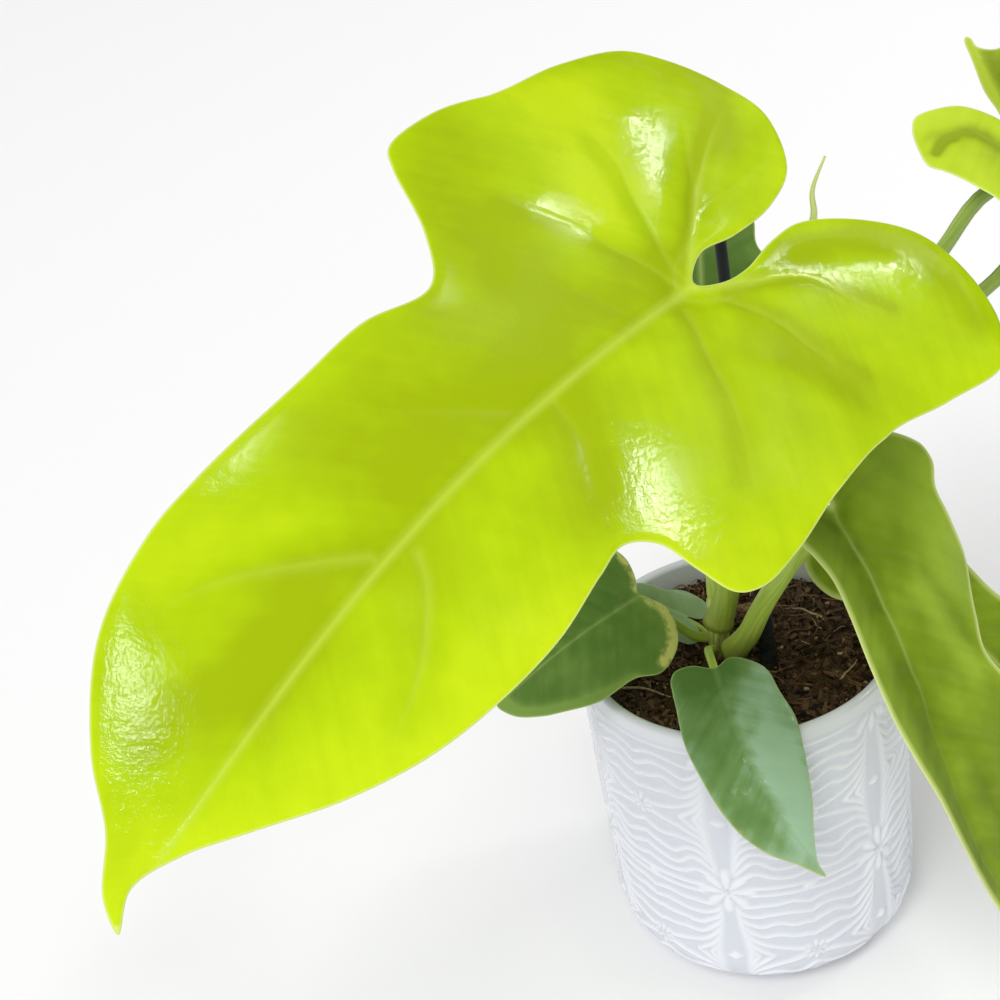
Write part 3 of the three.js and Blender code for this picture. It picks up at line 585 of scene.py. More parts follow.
def sweep(path, radius_at, rings, sides, upper=(0.3, -1, 0.2)):
    """A closed tube along a smooth path. radius_at gives its radius from the share of the way and
    the angle round it, counted from the side that faces upper."""
    curve = evenly(smooth_curve(path), SWEEP_STEP)
    reach = np.linspace(0, len(curve) - 1, rings)
    centres = np.column_stack([np.interp(reach, np.arange(len(curve)), c) for c in curve.T])
    tangents = unit(np.gradient(centres, axis=0))
    upper = np.array(upper, float)
    shares = np.linspace(0, 1, rings)
    turns = np.linspace(0, 2 * math.pi, sides, endpoint=False)
    points = []
    for centre, tangent, share in zip(centres, tangents, shares):
        first = upper - tangent * (upper @ tangent)
        first /= np.linalg.norm(first)
        second = np.cross(tangent, first)
        for turn in turns:
            radius = radius_at(share, min(turn, 2 * math.pi - turn))
            points.append(centre + radius * (first * math.cos(turn) + second * math.sin(turn)))
    marks = {
        "share": np.repeat(shares, sides),
        "turn": np.tile(np.minimum(turns, 2 * math.pi - turns), rings),
        "place": np.column_stack([
            np.repeat(shares * len(curve) * SWEEP_STEP, sides),
            np.tile(np.cos(turns), rings),
            np.tile(np.sin(turns), rings),
        ]),
    }
    return np.array(points), tube_faces(rings, sides), marks


# Shader nodes

def colour(code):
    """A linear colour from a web colour."""
    parts = [int(code[i:i + 2], 16) / 255 for i in (1, 3, 5)]
    linear = [p / 12.92 if p <= 0.04045 else ((p + 0.055) / 1.055) ** 2.4 for p in parts]
    return (*linear, 1)


def add_node(tree, kind, inputs=None, **settings):
    node = tree.nodes.new(f"ShaderNode{kind}")
    for key, value in settings.items():
        setattr(node, key, value)
    for key, value in (inputs or {}).items():
        if isinstance(value, bpy.types.NodeSocket):
            tree.links.new(value, node.inputs[key])
        else:
            node.inputs[key].default_value = value
    return node


def mark(tree, name, output="Fac"):
    return add_node(tree, "Attribute", attribute_name=name).outputs[output]


def mix(tree, factor, first, second):
    """Two colours mixed. Each is a socket or a web colour."""
    first, second = (colour(part) if isinstance(part, str) else part for part in (first, second))
    inputs = {0: factor, 6: first, 7: second}
    return add_node(tree, "Mix", inputs, data_type="RGBA").outputs[2]


def calculate(tree, operation, first, second=0.0):
    return add_node(tree, "Math", {0: first, 1: second}, operation=operation).outputs[0]


def spread(tree, value, low, high, new_low=0.0, new_high=1.0):
    """A value from low to high becomes one from new_low to new_high, and stays within them."""
    inputs = {"Value": value, "From Min": low, "From Max": high, "To Min": new_low, "To Max": new_high}
    return add_node(tree, "MapRange", inputs).outputs[0]


def grain(tree, vector, scale, detail=3.0, roughness=0.5):
    inputs = {"Vector": vector, "Scale": scale, "Detail": detail, "Roughness": roughness}
    return add_node(tree, "TexNoise", inputs).outputs[0]


def bump(tree, height, distance, strength, normal=None):
    inputs = {"Height": height, "Distance": distance * MM, "Strength": strength}
    if normal is not None:
        inputs["Normal"] = normal
    return add_node(tree, "Bump", inputs).outputs[0]


def streaked(tree, along, around, scale, first, second, detail=4):
    """Grain that is drawn out along a stalk or stem, and the two colours that it mixes."""
    inputs = {"Vector": mark(tree, "place", "Vector"), "Scale": (along, around, around)}
    streaks = grain(tree, add_node(tree, "Mapping", inputs).outputs[0], scale, detail)
    return streaks, mix(tree, spread(tree, streaks, 0.35, 0.65), first, second)


def new_material(name):
    """A material with an empty tree, and its shader."""
    material = bpy.data.materials.new(name)
    material.use_nodes = True
    tree = material.node_tree
    tree.nodes.clear()
    shader = add_node(tree, "BsdfPrincipled")
    add_node(tree, "OutputMaterial", {"Surface": shader.outputs[0]})
    return material, tree, shader


def connect(tree, shader, **inputs):
    for key, value in inputs.items():
        socket = shader.inputs[key.replace("_", " ")]
        if isinstance(value, bpy.types.NodeSocket):
            tree.links.new(value, socket)
        else:
            socket.default_value = value


# Finishes

def leaf_colour(tree, name, place, streak, blotches, above):
    """The colours of a leaf's upper face, underside and rim, from the marks on its points, with the painted
    light and shade that the tone and the pale rim carry.
    """
    body, deep, bright, veined, lit_rim_colour, under, aged = PALETTES[name]
    _, _, streaking, blotching, browning, rim_width = FINISHES[name]
    patterns = [
        (grain(tree, place, 0.035, 2), 0.3, MOTTLING),
        (grain(tree, streak, 0.22, 3), 0.3, streaking),
        (blotches, 0.35, blotching),
    ]
    tone_and_painted_light = mark(tree, "tone_and_painted_light")
    for pattern, low, amount in patterns:
        tone_and_painted_light = calculate(tree, "ADD", tone_and_painted_light, spread(tree, pattern, low, 1 - low, -amount, amount))
    blade = mix(tree, spread(tree, tone_and_painted_light, 0.0, 0.5), deep, body)
    blade = mix(tree, spread(tree, tone_and_painted_light, 0.5, 1.0), blade, bright)
    blade = mix(tree, mark(tree, "vein"), blade, veined)
    flecks = grain(tree, place, 0.4, 4)
    age = calculate(tree, "MULTIPLY", mark(tree, "aged"), spread(tree, flecks, 0.35, 0.6, 0.6, 1.3))
    brown = mix(tree, spread(tree, flecks, browning, browning + 0.12), WITHERED, aged)
    blade = mix(tree, spread(tree, age, 0.2, 0.8), blade, brown)
    surface = mix(tree, above, mix(tree, mark(tree, "vein"), under, veined), blade)
    # Painted light: the pale rim where the blade's edge catches the light.
    return mix(tree, spread(tree, mark(tree, "rim"), 0.2, rim_width, 0.65, 0.0), surface, lit_rim_colour)


def leaf_material(name):
    """A leaf's skin: dull underneath, and as glossy above as its finish and its shine marks say."""
    gloss, crinkle, *_ = FINISHES[name]
    material, tree, shader = new_material(f"leaf_{name}")
    place = mark(tree, "place", "Vector")
    streak = mark(tree, "streak", "Vector")
    blotches = grain(tree, place, 0.13, 3)
    above = spread(tree, add_node(tree, "SeparateXYZ", {0: place}).outputs[2], -0.1, 0.1)
    ripples = grain(tree, streak, 0.3, 3)
    rough = spread(tree, ripples, 0.3, 0.7, 0.36, 0.46)
    rough = calculate(tree, "ADD", rough, spread(tree, above, 0, 1, 0.2, 0.0))
    normal = bump(tree, ripples, crinkle, 0.3)
    normal = bump(tree, blotches, crinkle * 2, 0.3, normal)
    normal = bump(tree, grain(tree, place, 1.6), 0.05, 0.6, normal)
    shine = spread(tree, mark(tree, "shine"), 0, 1, gloss, 0.85)
    shine = calculate(tree, "MULTIPLY", shine, spread(tree, above, 0, 1, 0.1, 1))
    wrinkled = bump(tree, grain(tree, place, 0.42), 0.26, 0.4, normal)
    surface = leaf_colour(tree, name, place, streak, blotches, above)
    connect(tree, shader, Base_Color=surface, Roughness=rough, Normal=normal)
    connect(tree, shader, Coat_Weight=shine, Coat_Normal=wrinkled)
    connect(tree, shader, Coat_Roughness=0.07, Specular_IOR_Level=0.06)
    return material


def stalk_material(name):
    """Smooth green stalk, streaked lengthwise, with a lighter line along its two upper edges."""
    main, light, dark = STALK_TINTS[name]
    material, tree, shader = new_material(f"stalk_{name}")
    streaks, surface = streaked(tree, 0.03, 4, 1.5, dark, main)
    edge = calculate(tree, "ABSOLUTE", calculate(tree, "SUBTRACT", mark(tree, "turn"), 0.75))
    surface = mix(tree, spread(tree, edge, 0.05, 0.35, 0.55, 0.0), surface, light)
    foot = spread(tree, mark(tree, "share"), 0.0, 0.12, 0.5, 0.0)
    surface = mix(tree, foot, surface, "#8b8a45")
    normal = bump(tree, streaks, 0.07, 0.5)
    connect(tree, shader, Base_Color=surface, Roughness=spread(tree, streaks, 0.2, 0.8, 0.33, 0.48))
    connect(tree, shader, Normal=normal, Coat_Weight=0.15, Coat_Roughness=0.25)
    return material


def stem_material():
    """Green stem, brown and scarred low down, with a pale ring at each node."""
    material, tree, shader = new_material("stem_skin")
    streaks, brown = streaked(tree, 0.12, 2.5, 1.0, "#5c4a2e", "#8d7f58", 5)
    green = mix(tree, spread(tree, streaks, 0.3, 0.7), "#a6be4a", "#c0d46a")
    low = calculate(tree, "ADD", mark(tree, "share"), spread(tree, streaks, 0.3, 0.7, -0.04, 0.04))
    surface = mix(tree, spread(tree, low, 0.34, 0.46), brown, green)
    surface = mix(tree, mark(tree, "ring"), surface, "#c9cf93")
    normal = bump(tree, streaks, 0.3, 0.6)
    connect(tree, shader, Base_Color=surface, Roughness=spread(tree, low, 0.3, 0.5, 0.7, 0.42))
    connect(tree, shader, Normal=normal)
    return material


def pot_material():
    """White glaze, with painted shade that makes it darker and bluer in the hollows beside the relief and
    painted light on its ridges, and bare clay under the foot.
    """
    material, tree, shader = new_material("white_glaze")
    where = add_node(tree, "TexCoord").outputs["Object"]
    cloud = grain(tree, where, 18, 3)
    rise = mark(tree, "rise")
    # Painted shade in the hollows beside the ridges and painted light on the ridges, both read from the
    # relief's height.
    painted_hollow_shade = mix(tree, spread(tree, rise, -0.25, 0.05), "#a4abbf", "#d9dce5")
    glaze = mix(tree, spread(tree, rise, 0.05, 0.6), painted_hollow_shade, "#e9ebf2")
    glaze = mix(tree, spread(tree, cloud, 0.35, 0.65, 0.0, 0.25), glaze, "#dcdee5")
    bare = spread(tree, mark(tree, "bare"), 0.3, 0.7)
    clay = mix(tree, grain(tree, where, 900, 2), "#d9d0c2", "#c3b9aa")
    surface = mix(tree, bare, glaze, clay)
    skin = grain(tree, where, 700, 2)
    normal = bump(tree, cloud, 0.5, 0.35)
    normal = bump(tree, skin, 0.03, 0.35, normal)
    connect(tree, shader, Base_Color=surface, Normal=normal)
    connect(tree, shader, Roughness=spread(tree, bare, 0, 1, 0.26, 0.85))
    connect(tree, shader, Coat_Weight=0.4, Coat_Roughness=0.12)
    return material


def soil_material():
    """Damp bark and coir: each chip has its own tint from near black to tan."""
    material, tree, shader = new_material("bark_and_coir")
    where = add_node(tree, "TexCoord").outputs["Object"]
    tint = mark(tree, "tint")
    specks = grain(tree, where, 900, 4, 0.7)
    ramp = add_node(tree, "ValToRGB", {0: tint})
    stops = [(0.0, "#251910"), (0.35, "#533b25"), (0.6, "#7a5a3c"), (0.8, "#a08058"), (1.0, "#c8b28c")]
    ramp.color_ramp.elements[0].position = stops[0][0]
    ramp.color_ramp.elements[0].color = colour(stops[0][1])
    ramp.color_ramp.elements[1].position = stops[-1][0]
    ramp.color_ramp.elements[1].color = colour(stops[-1][1])
    for position, code in stops[1:-1]:
        ramp.color_ramp.elements.new(position).color = colour(code)
    shade = mix(tree, spread(tree, specks, 0.35, 0.65, 0.0, 0.45), ramp.outputs[0], "#1c120b")
    connect(tree, shader, Base_Color=shade, Roughness=spread(tree, specks, 0.3, 0.7, 0.65, 0.95))
    connect(tree, shader, Normal=bump(tree, specks, 0.4, 0.8))
    return material


def stake_material():
    """Dark green-black plastic sleeve with a fine lengthwise grain, dusty near the soil."""
    material, tree, shader = new_material("stake_sleeve")
    streaks, surface = streaked(tree, 0.05, 3, 2.0, "#0e1817", "#182423")
    dust = spread(tree, mark(tree, "share"), 0.33, 0.5, 0.5, 0.0)
    flecks = grain(tree, mark(tree, "place", "Vector"), 0.8, 4)
    dust = calculate(tree, "MULTIPLY", dust, spread(tree, flecks, 0.4, 0.6))
    surface = mix(tree, dust, surface, "#4a4034")
    connect(tree, shader, Base_Color=surface, Roughness=spread(tree, streaks, 0.3, 0.7, 0.45, 0.6))
    connect(tree, shader, Specular_IOR_Level=0.25)
    connect(tree, shader, Normal=bump(tree, streaks, 0.08, 0.5))
    return material


def new_leaf_material():
    """Pale rolled leaf, streaked along its length, greener in the roll's groove."""
    material, tree, shader = new_material("rolled_leaf")
    streaks, surface = streaked(tree, 0.04, 3, 1.8, "#b4c766", "#d6e090")
    surface = mix(tree, mark(tree, "ring"), surface, "#8fa845")
    connect(tree, shader, Base_Color=surface, Roughness=0.4, Coat_Weight=0.2)
    connect(tree, shader, Normal=bump(tree, streaks, 0.1, 0.5))
    return material


# Blades

def leaf_axes(leaf):
    """The three directions of a leaf: along its midrib, across it and out of its upper face."""
    a, b, r = (math.radians(leaf[key]) for key in ("heading", "slope", "roll"))
    along = np.array([math.cos(b) * math.cos(a), math.cos(b) * math.sin(a), math.sin(b)])
    level = np.array([math.sin(a), -math.cos(a), 0])
    lift = np.cross(level, along)
    across = level * math.cos(r) + lift * math.sin(r)
    out = lift * math.cos(r) - level * math.sin(r)
    return along, across, out


def bow_at(leaf, s):
    return np.where(s > 0, leaf["bow"] * np.sin(np.pi * s / leaf["length"]), 0)


def rise_at(leaf, s, w):
    """How far the blade's middle surface lies out of the leaf's plane."""
    side = (w >= 0).astype(int)
    share = w / leaf["half_width"]
    phase = 2 * np.pi * s / leaf["wave_length"] + side * 1.5
    return (
        leaf["arch"] * np.sin(np.pi * s / leaf["length"])
        + np.take(leaf["fold"], side) * (np.hypot(w, 4) - 4)
        - np.take(leaf["droop"], side) * w * share
        + leaf["wave"] * np.sin(phase) * share ** 2
    )


def surface_at(leaf, s, w):
    along, across, out = leaf_axes(leaf)
    flat = np.outer(s, along) + np.outer(w + bow_at(leaf, s), across)
    return np.array(leaf["base"], float) + flat + np.outer(rise_at(leaf, s, w), out)


def face_at(leaf, s, w):
    """The direction out of the blade's upper face."""
    down = surface_at(leaf, s + 0.5, w) - surface_at(leaf, s - 0.5, w)
    over = surface_at(leaf, s, w + 0.5) - surface_at(leaf, s, w - 0.5)
    return unit(np.cross(over, down))


def outline_of(leaf):
    if "outline" in leaf:
        return leaf["outline"]
    half = [(s * leaf["length"], w * leaf["length"]) for s, w in VIOLIN_HALF]
    mirrored = [(s, -w) for s, w in reversed(half)]
    return [(0, 0), *half, (leaf["length"], 0), *mirrored]


def ruled_veins(leaf, edge):
    """Pairs of side veins that curve towards the tip, and a fan of veins into each back lobe."""
    lines = []
    reach = 1.1 * leaf["half_width"]
    u = np.linspace(0, 1, 24)
    for side in (-1, 1):
        for share in SIDE_VEIN_SHARES:
            s = share * leaf["length"] + reach * (0.4 * u + 0.45 * u * u)
            lines.append((0.8, np.column_stack([s, side * reach * u])))
        for degrees in BACK_VEIN_DEGREES:
            turn = math.radians(degrees)
            s = reach * (u * math.cos(turn) + 0.12 * u * u)
            lines.append((0.9, np.column_stack([s, side * reach * u * math.sin(turn)])))
    veins = []
    for strength, line in lines:
        gap, _ = distance_to(line, loop_of(edge))
        good = is_inside(line, edge) & (gap > 2)
        good[:3] = True
        count = len(line) if good.all() else int(np.argmin(good))
        if count > 5:
            veins.append((strength, line[:count]))
    return veins


def plane_points(edge, veins, step):
    """Points for a fine blade: its edge, rows along and beside each vein, and an even grid."""
    rows = []
    for _, line in veins:
        row = evenly(line, step)
        side = unit(np.gradient(row, axis=0)[:, ::-1] * (1, -1))
        rows += [row, row + side * step * 0.75, row - side * step * 0.75]
    low = edge.min(0)
    high = edge.max(0)
    lines = np.arange(low[1], high[1], step * 0.866)
    places = np.arange(low[0], high[0], step)
    s = places[None, :] + (np.arange(len(lines)) % 2)[:, None] * step / 2
    grid = np.column_stack([s.ravel(), np.repeat(lines, len(places))])
    for _, line in veins:
        gap, _ = distance_to(grid, evenly(line, step * 2))
        grid = grid[gap > step * 1.35]
    points = np.vstack([*rows, grid])
    points = points[is_inside(points, edge)]
    gap, _ = distance_to(points, loop_of(edge))
    return np.vstack([edge, points[gap > step * 0.6]])


def triangles_in(points, corners):
    """Even triangles between points, within the edge that the first points make."""
    loop = [(i, (i + 1) % corners) for i in range(corners)]
    result = geometry.delaunay_2d_cdt([Vector(p) for p in points], loop, [], 1, 1e-6)
    flat = np.array([tuple(p) for p in result[0]])
    faces = np.array([f for f in result[2] if len(f) == 3])
    a, b, c = (flat[faces[:, k]] for k in range(3))
    area = (b - a)[:, 0] * (c - a)[:, 1] - (b - a)[:, 1] * (c - a)[:, 0]
    faces[area < 0] = faces[area < 0][:, ::-1]
    return flat, faces


def border_of(faces):
    """The edges that only one triangle uses, in that triangle's order."""
    edges = np.vstack([faces[:, [0, 1]], faces[:, [1, 2]], faces[:, [2, 0]]])
    _, first, uses = np.unique(np.sort(edges, axis=1), axis=0, return_index=True, return_counts=True)
    return edges[first[uses == 1]]


def outward_from(flat, border):
    """For each point on the border, the direction out of the blade's edge."""
    outward = np.zeros_like(flat)
    step = flat[border[:, 1]] - flat[border[:, 0]]
    aside = np.column_stack([step[:, 1], -step[:, 0]])
    np.add.at(outward, border[:, 0], aside)
    np.add.at(outward, border[:, 1], aside)
    return unit(outward)


def sum_along(points, amounts):
    """Sum of soft lines: each is an amount, a width and a path."""
    total = np.zeros(len(points))
    for amount, width, path in amounts:
        gap, _ = distance_to(points, evenly(smooth_curve(path), 2))
        total += amount * hill(gap, width)
    return total


def beside_midrib(leaf, s, w):
    """How far points lie beside the midrib, which may run beside the leaf's middle line."""
    places, offsets = zip(*leaf["midrib_line"])
    return w - np.interp(s, places, offsets)


def vein_relief(leaf, flat, rim, veins):
    """How deep the veins lie in the upper face, and how pale they are."""
    s, w = flat.T
    w = beside_midrib(leaf, s, w)
    along = np.clip(1 - s / leaf["length"], 0, 1) * smooth_step(s, -4, 2)
    size = min(1, leaf["length"] / FULL_VEIN_LENGTH)
    depth = MIDRIB_DEPTH * size * hill(w, 2.2 * size + 0.2) * along ** 0.5
    pale_width = 1.7 * size * (0.35 + 0.65 * along) * leaf["midrib_width"] + 0.15
    pale = leaf["midrib"] * 0.8 * hill(w, pale_width) * smooth_step(along, 0, 0.1)
    if "midrib_fade" in leaf:
        pale *= 1 - 0.8 * smooth_step(s, *leaf["midrib_fade"])
    for strength, line in veins:
        gap, share = distance_to(flat, line)
        width = (0.75 + 0.55 * strength * (1 - share)) * (0.5 + 0.5 * size)
        narrow = hill(gap, width) * (1 - smooth_step(share, 0.35, 1))
        broad = hill(gap, VEIN_VALLEY_WIDTH * size) * (1 - share ** 3)
        depth += strength * size * (VEIN_DEPTH * narrow + VEIN_VALLEY_DEPTH * broad)
        pale = np.maximum(pale, 0.6 * (strength / 1.7) ** 3 * narrow)
    return np.minimum(depth, 1.5) * smooth_step(rim, 0.5, 7), pale


def veins_of(leaf, edge):
    if "veins" in leaf:
        return [(strength, evenly(smooth_curve(path), 2)) for strength, path in leaf["veins"]]
    return ruled_veins(leaf, edge)


def blade_faces(leaf, flat, rim, depth, pale):
    """The directions out of a blade, its upper face, and its lower face with a rib at the midrib."""
    s, w = flat.T
    face = face_at(leaf, s, w)
    middle = surface_at(leaf, s, w) - face * depth[:, None]
    half = 0.5 * (EDGE_THICKNESS + (BLADE_THICKNESS - EDGE_THICKNESS) * smooth_step(rim, 0, 3))
    along = np.clip(1 - s / leaf["length"], 0, 1) * (s >= 0)
    rib = hill(beside_midrib(leaf, s, w), MIDRIB_WIDTH * 0.6) * along
    size = min(1, leaf["length"] / FULL_RIB_LENGTH)
    below = half + size * MIDRIB_HEIGHT * rib + 0.3 * pale
    return face, middle + face * half[:, None], middle - face * below[:, None]


def blade_marks(leaf, flat, ring, rim, depth, pale):
    """What the material reads at each point of the upper face, the lower face and the rounded rim."""
    s, w = flat.T
    # The tone carries painted light and shade: the listed tones, painted shade in the deep veins and
    # painted light near the rim.
    tone_and_painted_light = 0.5 + sum_along(flat, leaf["painted_light_and_tones"]) - VEIN_PAINTED_SHADE * np.minimum(depth, VEIN_PAINTED_SHADE_DEPTH)
    tone_and_painted_light += RIM_PAINTED_LIGHT * np.exp(-rim / RIM_PAINTED_LIGHT_WIDTH)

    def on_all(values):
        return np.concatenate([values, values, values[ring]])

    above = np.concatenate([np.ones(len(flat)), -np.ones(len(flat)), np.zeros(len(ring))])
    return {
        "place": np.column_stack([on_all(s), on_all(w), above]),
        "streak": np.column_stack([on_all(s - 0.8 * np.abs(w)), on_all(0.1 * w), above * 5]),
        "vein": on_all(pale),
        "rim": np.concatenate([rim, rim, np.zeros(len(ring))]),
        "tone_and_painted_light": on_all(tone_and_painted_light),
        "aged": on_all(np.clip(sum_along(flat, leaf["aged"]), 0, 1)),
        "shine": on_all(np.clip(sum_along(flat, leaf["shine"]), 0, 1)),
    }


def make_blade(leaf, material):
    """A closed blade: its upper and its lower face, joined by a rounded rim."""
    edge = evenly(smooth_curve(outline_of(leaf), closed=True), leaf["step"] * 0.8, closed=True)
    veins = veins_of(leaf, edge)
    reach = np.linspace(1, leaf["length"] - 3, 60)
    midrib = np.column_stack([reach, -beside_midrib(leaf, reach, 0)])
    flat, faces = triangles_in(plane_points(edge, [(1, midrib), *veins], leaf["step"]), len(edge))
    border = border_of(faces)
    ring = np.unique(border)
    outward = outward_from(flat, border)[ring]
    flat[ring] -= outward * EDGE_INSET
    rim, _ = distance_to(flat, loop_of(edge))
    depth, pale = vein_relief(leaf, flat, rim, veins)
    depth -= sum_along(flat, leaf["swells"]) * smooth_step(rim, 0, 8)
    face, upper, lower = blade_faces(leaf, flat, rim, depth, pale)
    rounded = flat[ring] + outward * EDGE_THICKNESS * 0.5
    between = surface_at(leaf, *rounded.T) - face[ring] * depth[ring][:, None]
    count = len(flat)
    number = np.zeros(count, int)
    number[ring] = 2 * count + np.arange(len(ring))
    start, end = border.T
    walls = np.vstack([
        np.column_stack([start, end, number[end], number[start]]),
        np.column_stack([number[start], number[end], end + count, start + count]),
    ])
    points = np.vstack([upper, lower, between])
    all_faces = [*faces[:, ::-1].tolist(), *(faces + count).tolist(), *walls.tolist()]
    marks = blade_marks(leaf, flat, ring, rim, depth, pale)
    name = leaf["name"]
    make_piece(f"{name}_leaf", points, all_faces, material, f"{name}_blade", marks)


def make_stalk(leaf, material):
    """The leaf's stalk, from inside the stem to the underside of its blade."""
    foot, tip = leaf["stalk_radius"]

    def radius_at(share, turn):
        sheath = 1 + 0.15 * math.exp(-share * 9)
        channel = 1 - 0.14 * hill(turn, 0.55)
        end = 1 - 0.45 * smooth_step(share, 0.93, 1)
        return (foot + (tip - foot) * math.sqrt(share)) * sheath * channel * end

    length = leaf["length"]
    rings = max(LEAST_STALK_RINGS, round(length / 3))
    points, faces, marks = sweep(leaf["stalk"], radius_at, rings, STALK_SIDES, upper=(0, 0.35, 1))
    along, across, out = leaf_axes(leaf)
    away = points - np.array(leaf["base"], float)
    s = away @ along
    w = away @ across - bow_at(leaf, s)
    over = away @ out - rise_at(leaf, s, w)
    over += STALK_GAP + min(1, length / FULL_VEIN_LENGTH)
    near = (np.maximum(np.abs(s), np.abs(w)) < STALK_END_REACH) & (over > 0) & (marks["share"] > 0.6)
    points[near] -= np.outer(over[near], out)
    node = f"{leaf['name']}_stalk"
    make_piece(f"{node}_skin", points, faces, material, node, marks)


# Pot

def pot_radius_at(height):
    """Outer radius of the plain pot at a height, with the rounded corner at its foot."""
    wall = POT_FOOT_RADIUS + (POT_TOP_RADIUS - POT_FOOT_RADIUS) * height / POT_HEIGHT
    below = max(0, POT_CORNER_RADIUS - height) / POT_CORNER_RADIUS
    return wall - POT_CORNER_RADIUS * (1 - math.sqrt(1 - below * below))


def from_nearest(values, spacing):
    """How far values are from the nearest whole number of spacings."""
    return np.abs(values - np.round(values / spacing) * spacing)


def flow_ridges(dx, dz, turns, heights):
    """Wavy ridges that part round the flowers. dx and dz are how far a point is from a flower."""
    u = dx / HALF_COLUMN
    v = (dz - GROOVE_HALF_WIDTH) / (HALF_ROW - 2 * GROOVE_HALF_WIDTH)
    bend = np.maximum(np.sin(math.pi / 2 * np.clip(u, 0, 1) ** 0.5), 0.04)
    wander = np.sin(turns * 17)[None, :] * np.sin(heights / 9)[:, None]
    wander += 0.6 * np.sin(turns * 31)[None, :] * np.cos(heights / 6)[:, None]
    wave = FLOW_WAVE * (np.sin(2 * math.pi * u) + 0.4 * wander) * np.sin(math.pi * np.clip(v, 0, 1))
    phase = FLOW_LINES * (v - wave) / bend
    slope_v, slope_u = np.gradient(phase)
    slope_v = slope_v / (heights[1] - heights[0])
    slope_u = slope_u / (turns[1] - turns[0]) / POT_TOP_RADIUS
    slope = np.hypot(slope_v, slope_u) + 1e-6
    gap = np.abs(phase - np.clip(np.round(phase), 0, FLOW_LINES + 9)) / slope / RIDGE_WIDTH
    ridge = FLOW_RISE * hill(gap, 1) - FLOW_HOLLOW * hill(gap - 1.9, 0.7)
    return ridge * smooth_step(1 / slope, 0.8 * RIDGE_WIDTH, 2.2 * RIDGE_WIDTH)


def star_flower(dx, dz, radius):
    """A flower of narrow petals, and how far a point is from its middle, in radii."""
    reach = np.hypot(dx, dz) / radius
    petals = np.abs(np.cos(np.arctan2(dz, dx) * FLOWER_PETALS / 2)) ** 1.4
    shape = np.clip(1.5 * (petals - reach ** 3), 0, 1) * smooth_step(reach, 0.05, 0.2)
    rise = (FLOWER_RISE * shape - FLOWER_HOLLOW * smooth_step(shape, 0.3, 0.0)) * (reach < 1)
    return rise, reach


def relief_on(turns, heights):
    """How far the relief stands out on a grid of heights and of turns round the pot, in radians."""
    across = (turns - math.radians(FLOWER_TURN_DEGREES)) * POT_TOP_RADIUS
    across = from_nearest(across, 2 * HALF_COLUMN)
    dx, dz = np.meshgrid(across, from_nearest(heights - FLOWER_LOW_ROW, 2 * HALF_ROW))
    parts = [flow_ridges(dx, dz, turns, heights)]
    for centre_x, centre_z, radius in ((0, 0, FLOWER_RADIUS), (HALF_COLUMN, HALF_ROW, KNOT_RADIUS)):
        rise, reach = star_flower(dx - centre_x, dz - centre_z, radius)
        parts = [part * smooth_step(reach, 0.6, 0.95) for part in parts]
        parts.append(rise)
    for centre_x, centre_z in ((HALF_COLUMN, 0), (0, HALF_ROW)):
        bead = 1 - np.abs(dx - centre_x) / BEAD_SIZE[0] - np.abs(dz - centre_z) / BEAD_SIZE[1]
        parts.append(BEAD_RISE * np.clip(1.8 * bead, 0, 1))
    calm = smooth_step(heights, RELIEF_BOTTOM, RELIEF_BOTTOM + 6)
    calm = calm * (1 - smooth_step(heights, RELIEF_TOP - 2, RELIEF_TOP))
    return calm[:, None] * np.max(parts, axis=0)


def pot_rings():
    """The pot's profile, from its base over its rim to its inside floor: rings of a radius, a height
    and whether the relief reaches there."""
    rings = [(radius, height, False) for radius, height in POT_BASE]
    for row in range(POT_ROWS + 1):
        height = WALL_START + (RELIEF_TOP - WALL_START) * row / POT_ROWS
        rings.append((pot_radius_at(height), height, True))
    # Two rings lead from the relief to the rolled rim.
    rings.append((POT_RIM_RADIUS + 0.7, RELIEF_TOP + 1.2, False))
    rings.append((POT_RIM_RADIUS + 0.3, POT_HEIGHT - 3.6, False))
    middle = POT_RIM_RADIUS - POT_WALL / 2
    for step in range(RIM_STEPS + 1):
        turn = math.pi * step / RIM_STEPS
        radius = middle + POT_WALL / 2 * math.cos(turn)
        rings.append((radius, POT_HEIGHT - POT_WALL / 2 * (1 - math.sin(turn)), False))
    return rings + [(POT_RIM_RADIUS - POT_WALL - inset, height, False) for inset, height in POT_INSIDE]


def make_pot(material):
    """The pot's wall, rim and inside in one skin, with the relief on its outside."""
    radii, heights, has_relief = (np.array(column) for column in zip(*pot_rings()))
    turns = np.linspace(0, 2 * math.pi, POT_COLUMNS, endpoint=False)
    rise = np.zeros((len(radii), POT_COLUMNS))
    rise[has_relief] = relief_on(turns, heights[has_relief])
    out = radii[:, None] + rise
    points = np.stack([out * np.cos(turns), out * np.sin(turns), heights[:, None] + 0 * out], axis=-1)
    points = points.reshape(-1, 3)
    rise[~has_relief] = PLAIN_RISE
    marks = {"rise": rise.ravel(), "bare": (points[:, 2] < BARE_HEIGHT).astype(float)}
    faces = tube_faces(len(radii), POT_COLUMNS)
    make_piece("glazed_pot", points, faces, material, "pot", marks)


# Potting mix

def soil_height(x, y):
    bump_size = math.sin(x / 5.1 + 1.3) * math.cos(y / 4.3) + 0.6 * math.sin((x + 2 * y) / 7.7)
    edge = math.hypot(x, y) / (POT_RIM_RADIUS - POT_WALL)
    fine = noise.noise(Vector((x, y, 0)) * 0.35) + 0.5 * noise.noise(Vector((x, y, 9)) * 0.9)
    return SOIL_TOP + (SOIL_BUMP * bump_size + 0.5 * fine) * (1 - edge * edge)


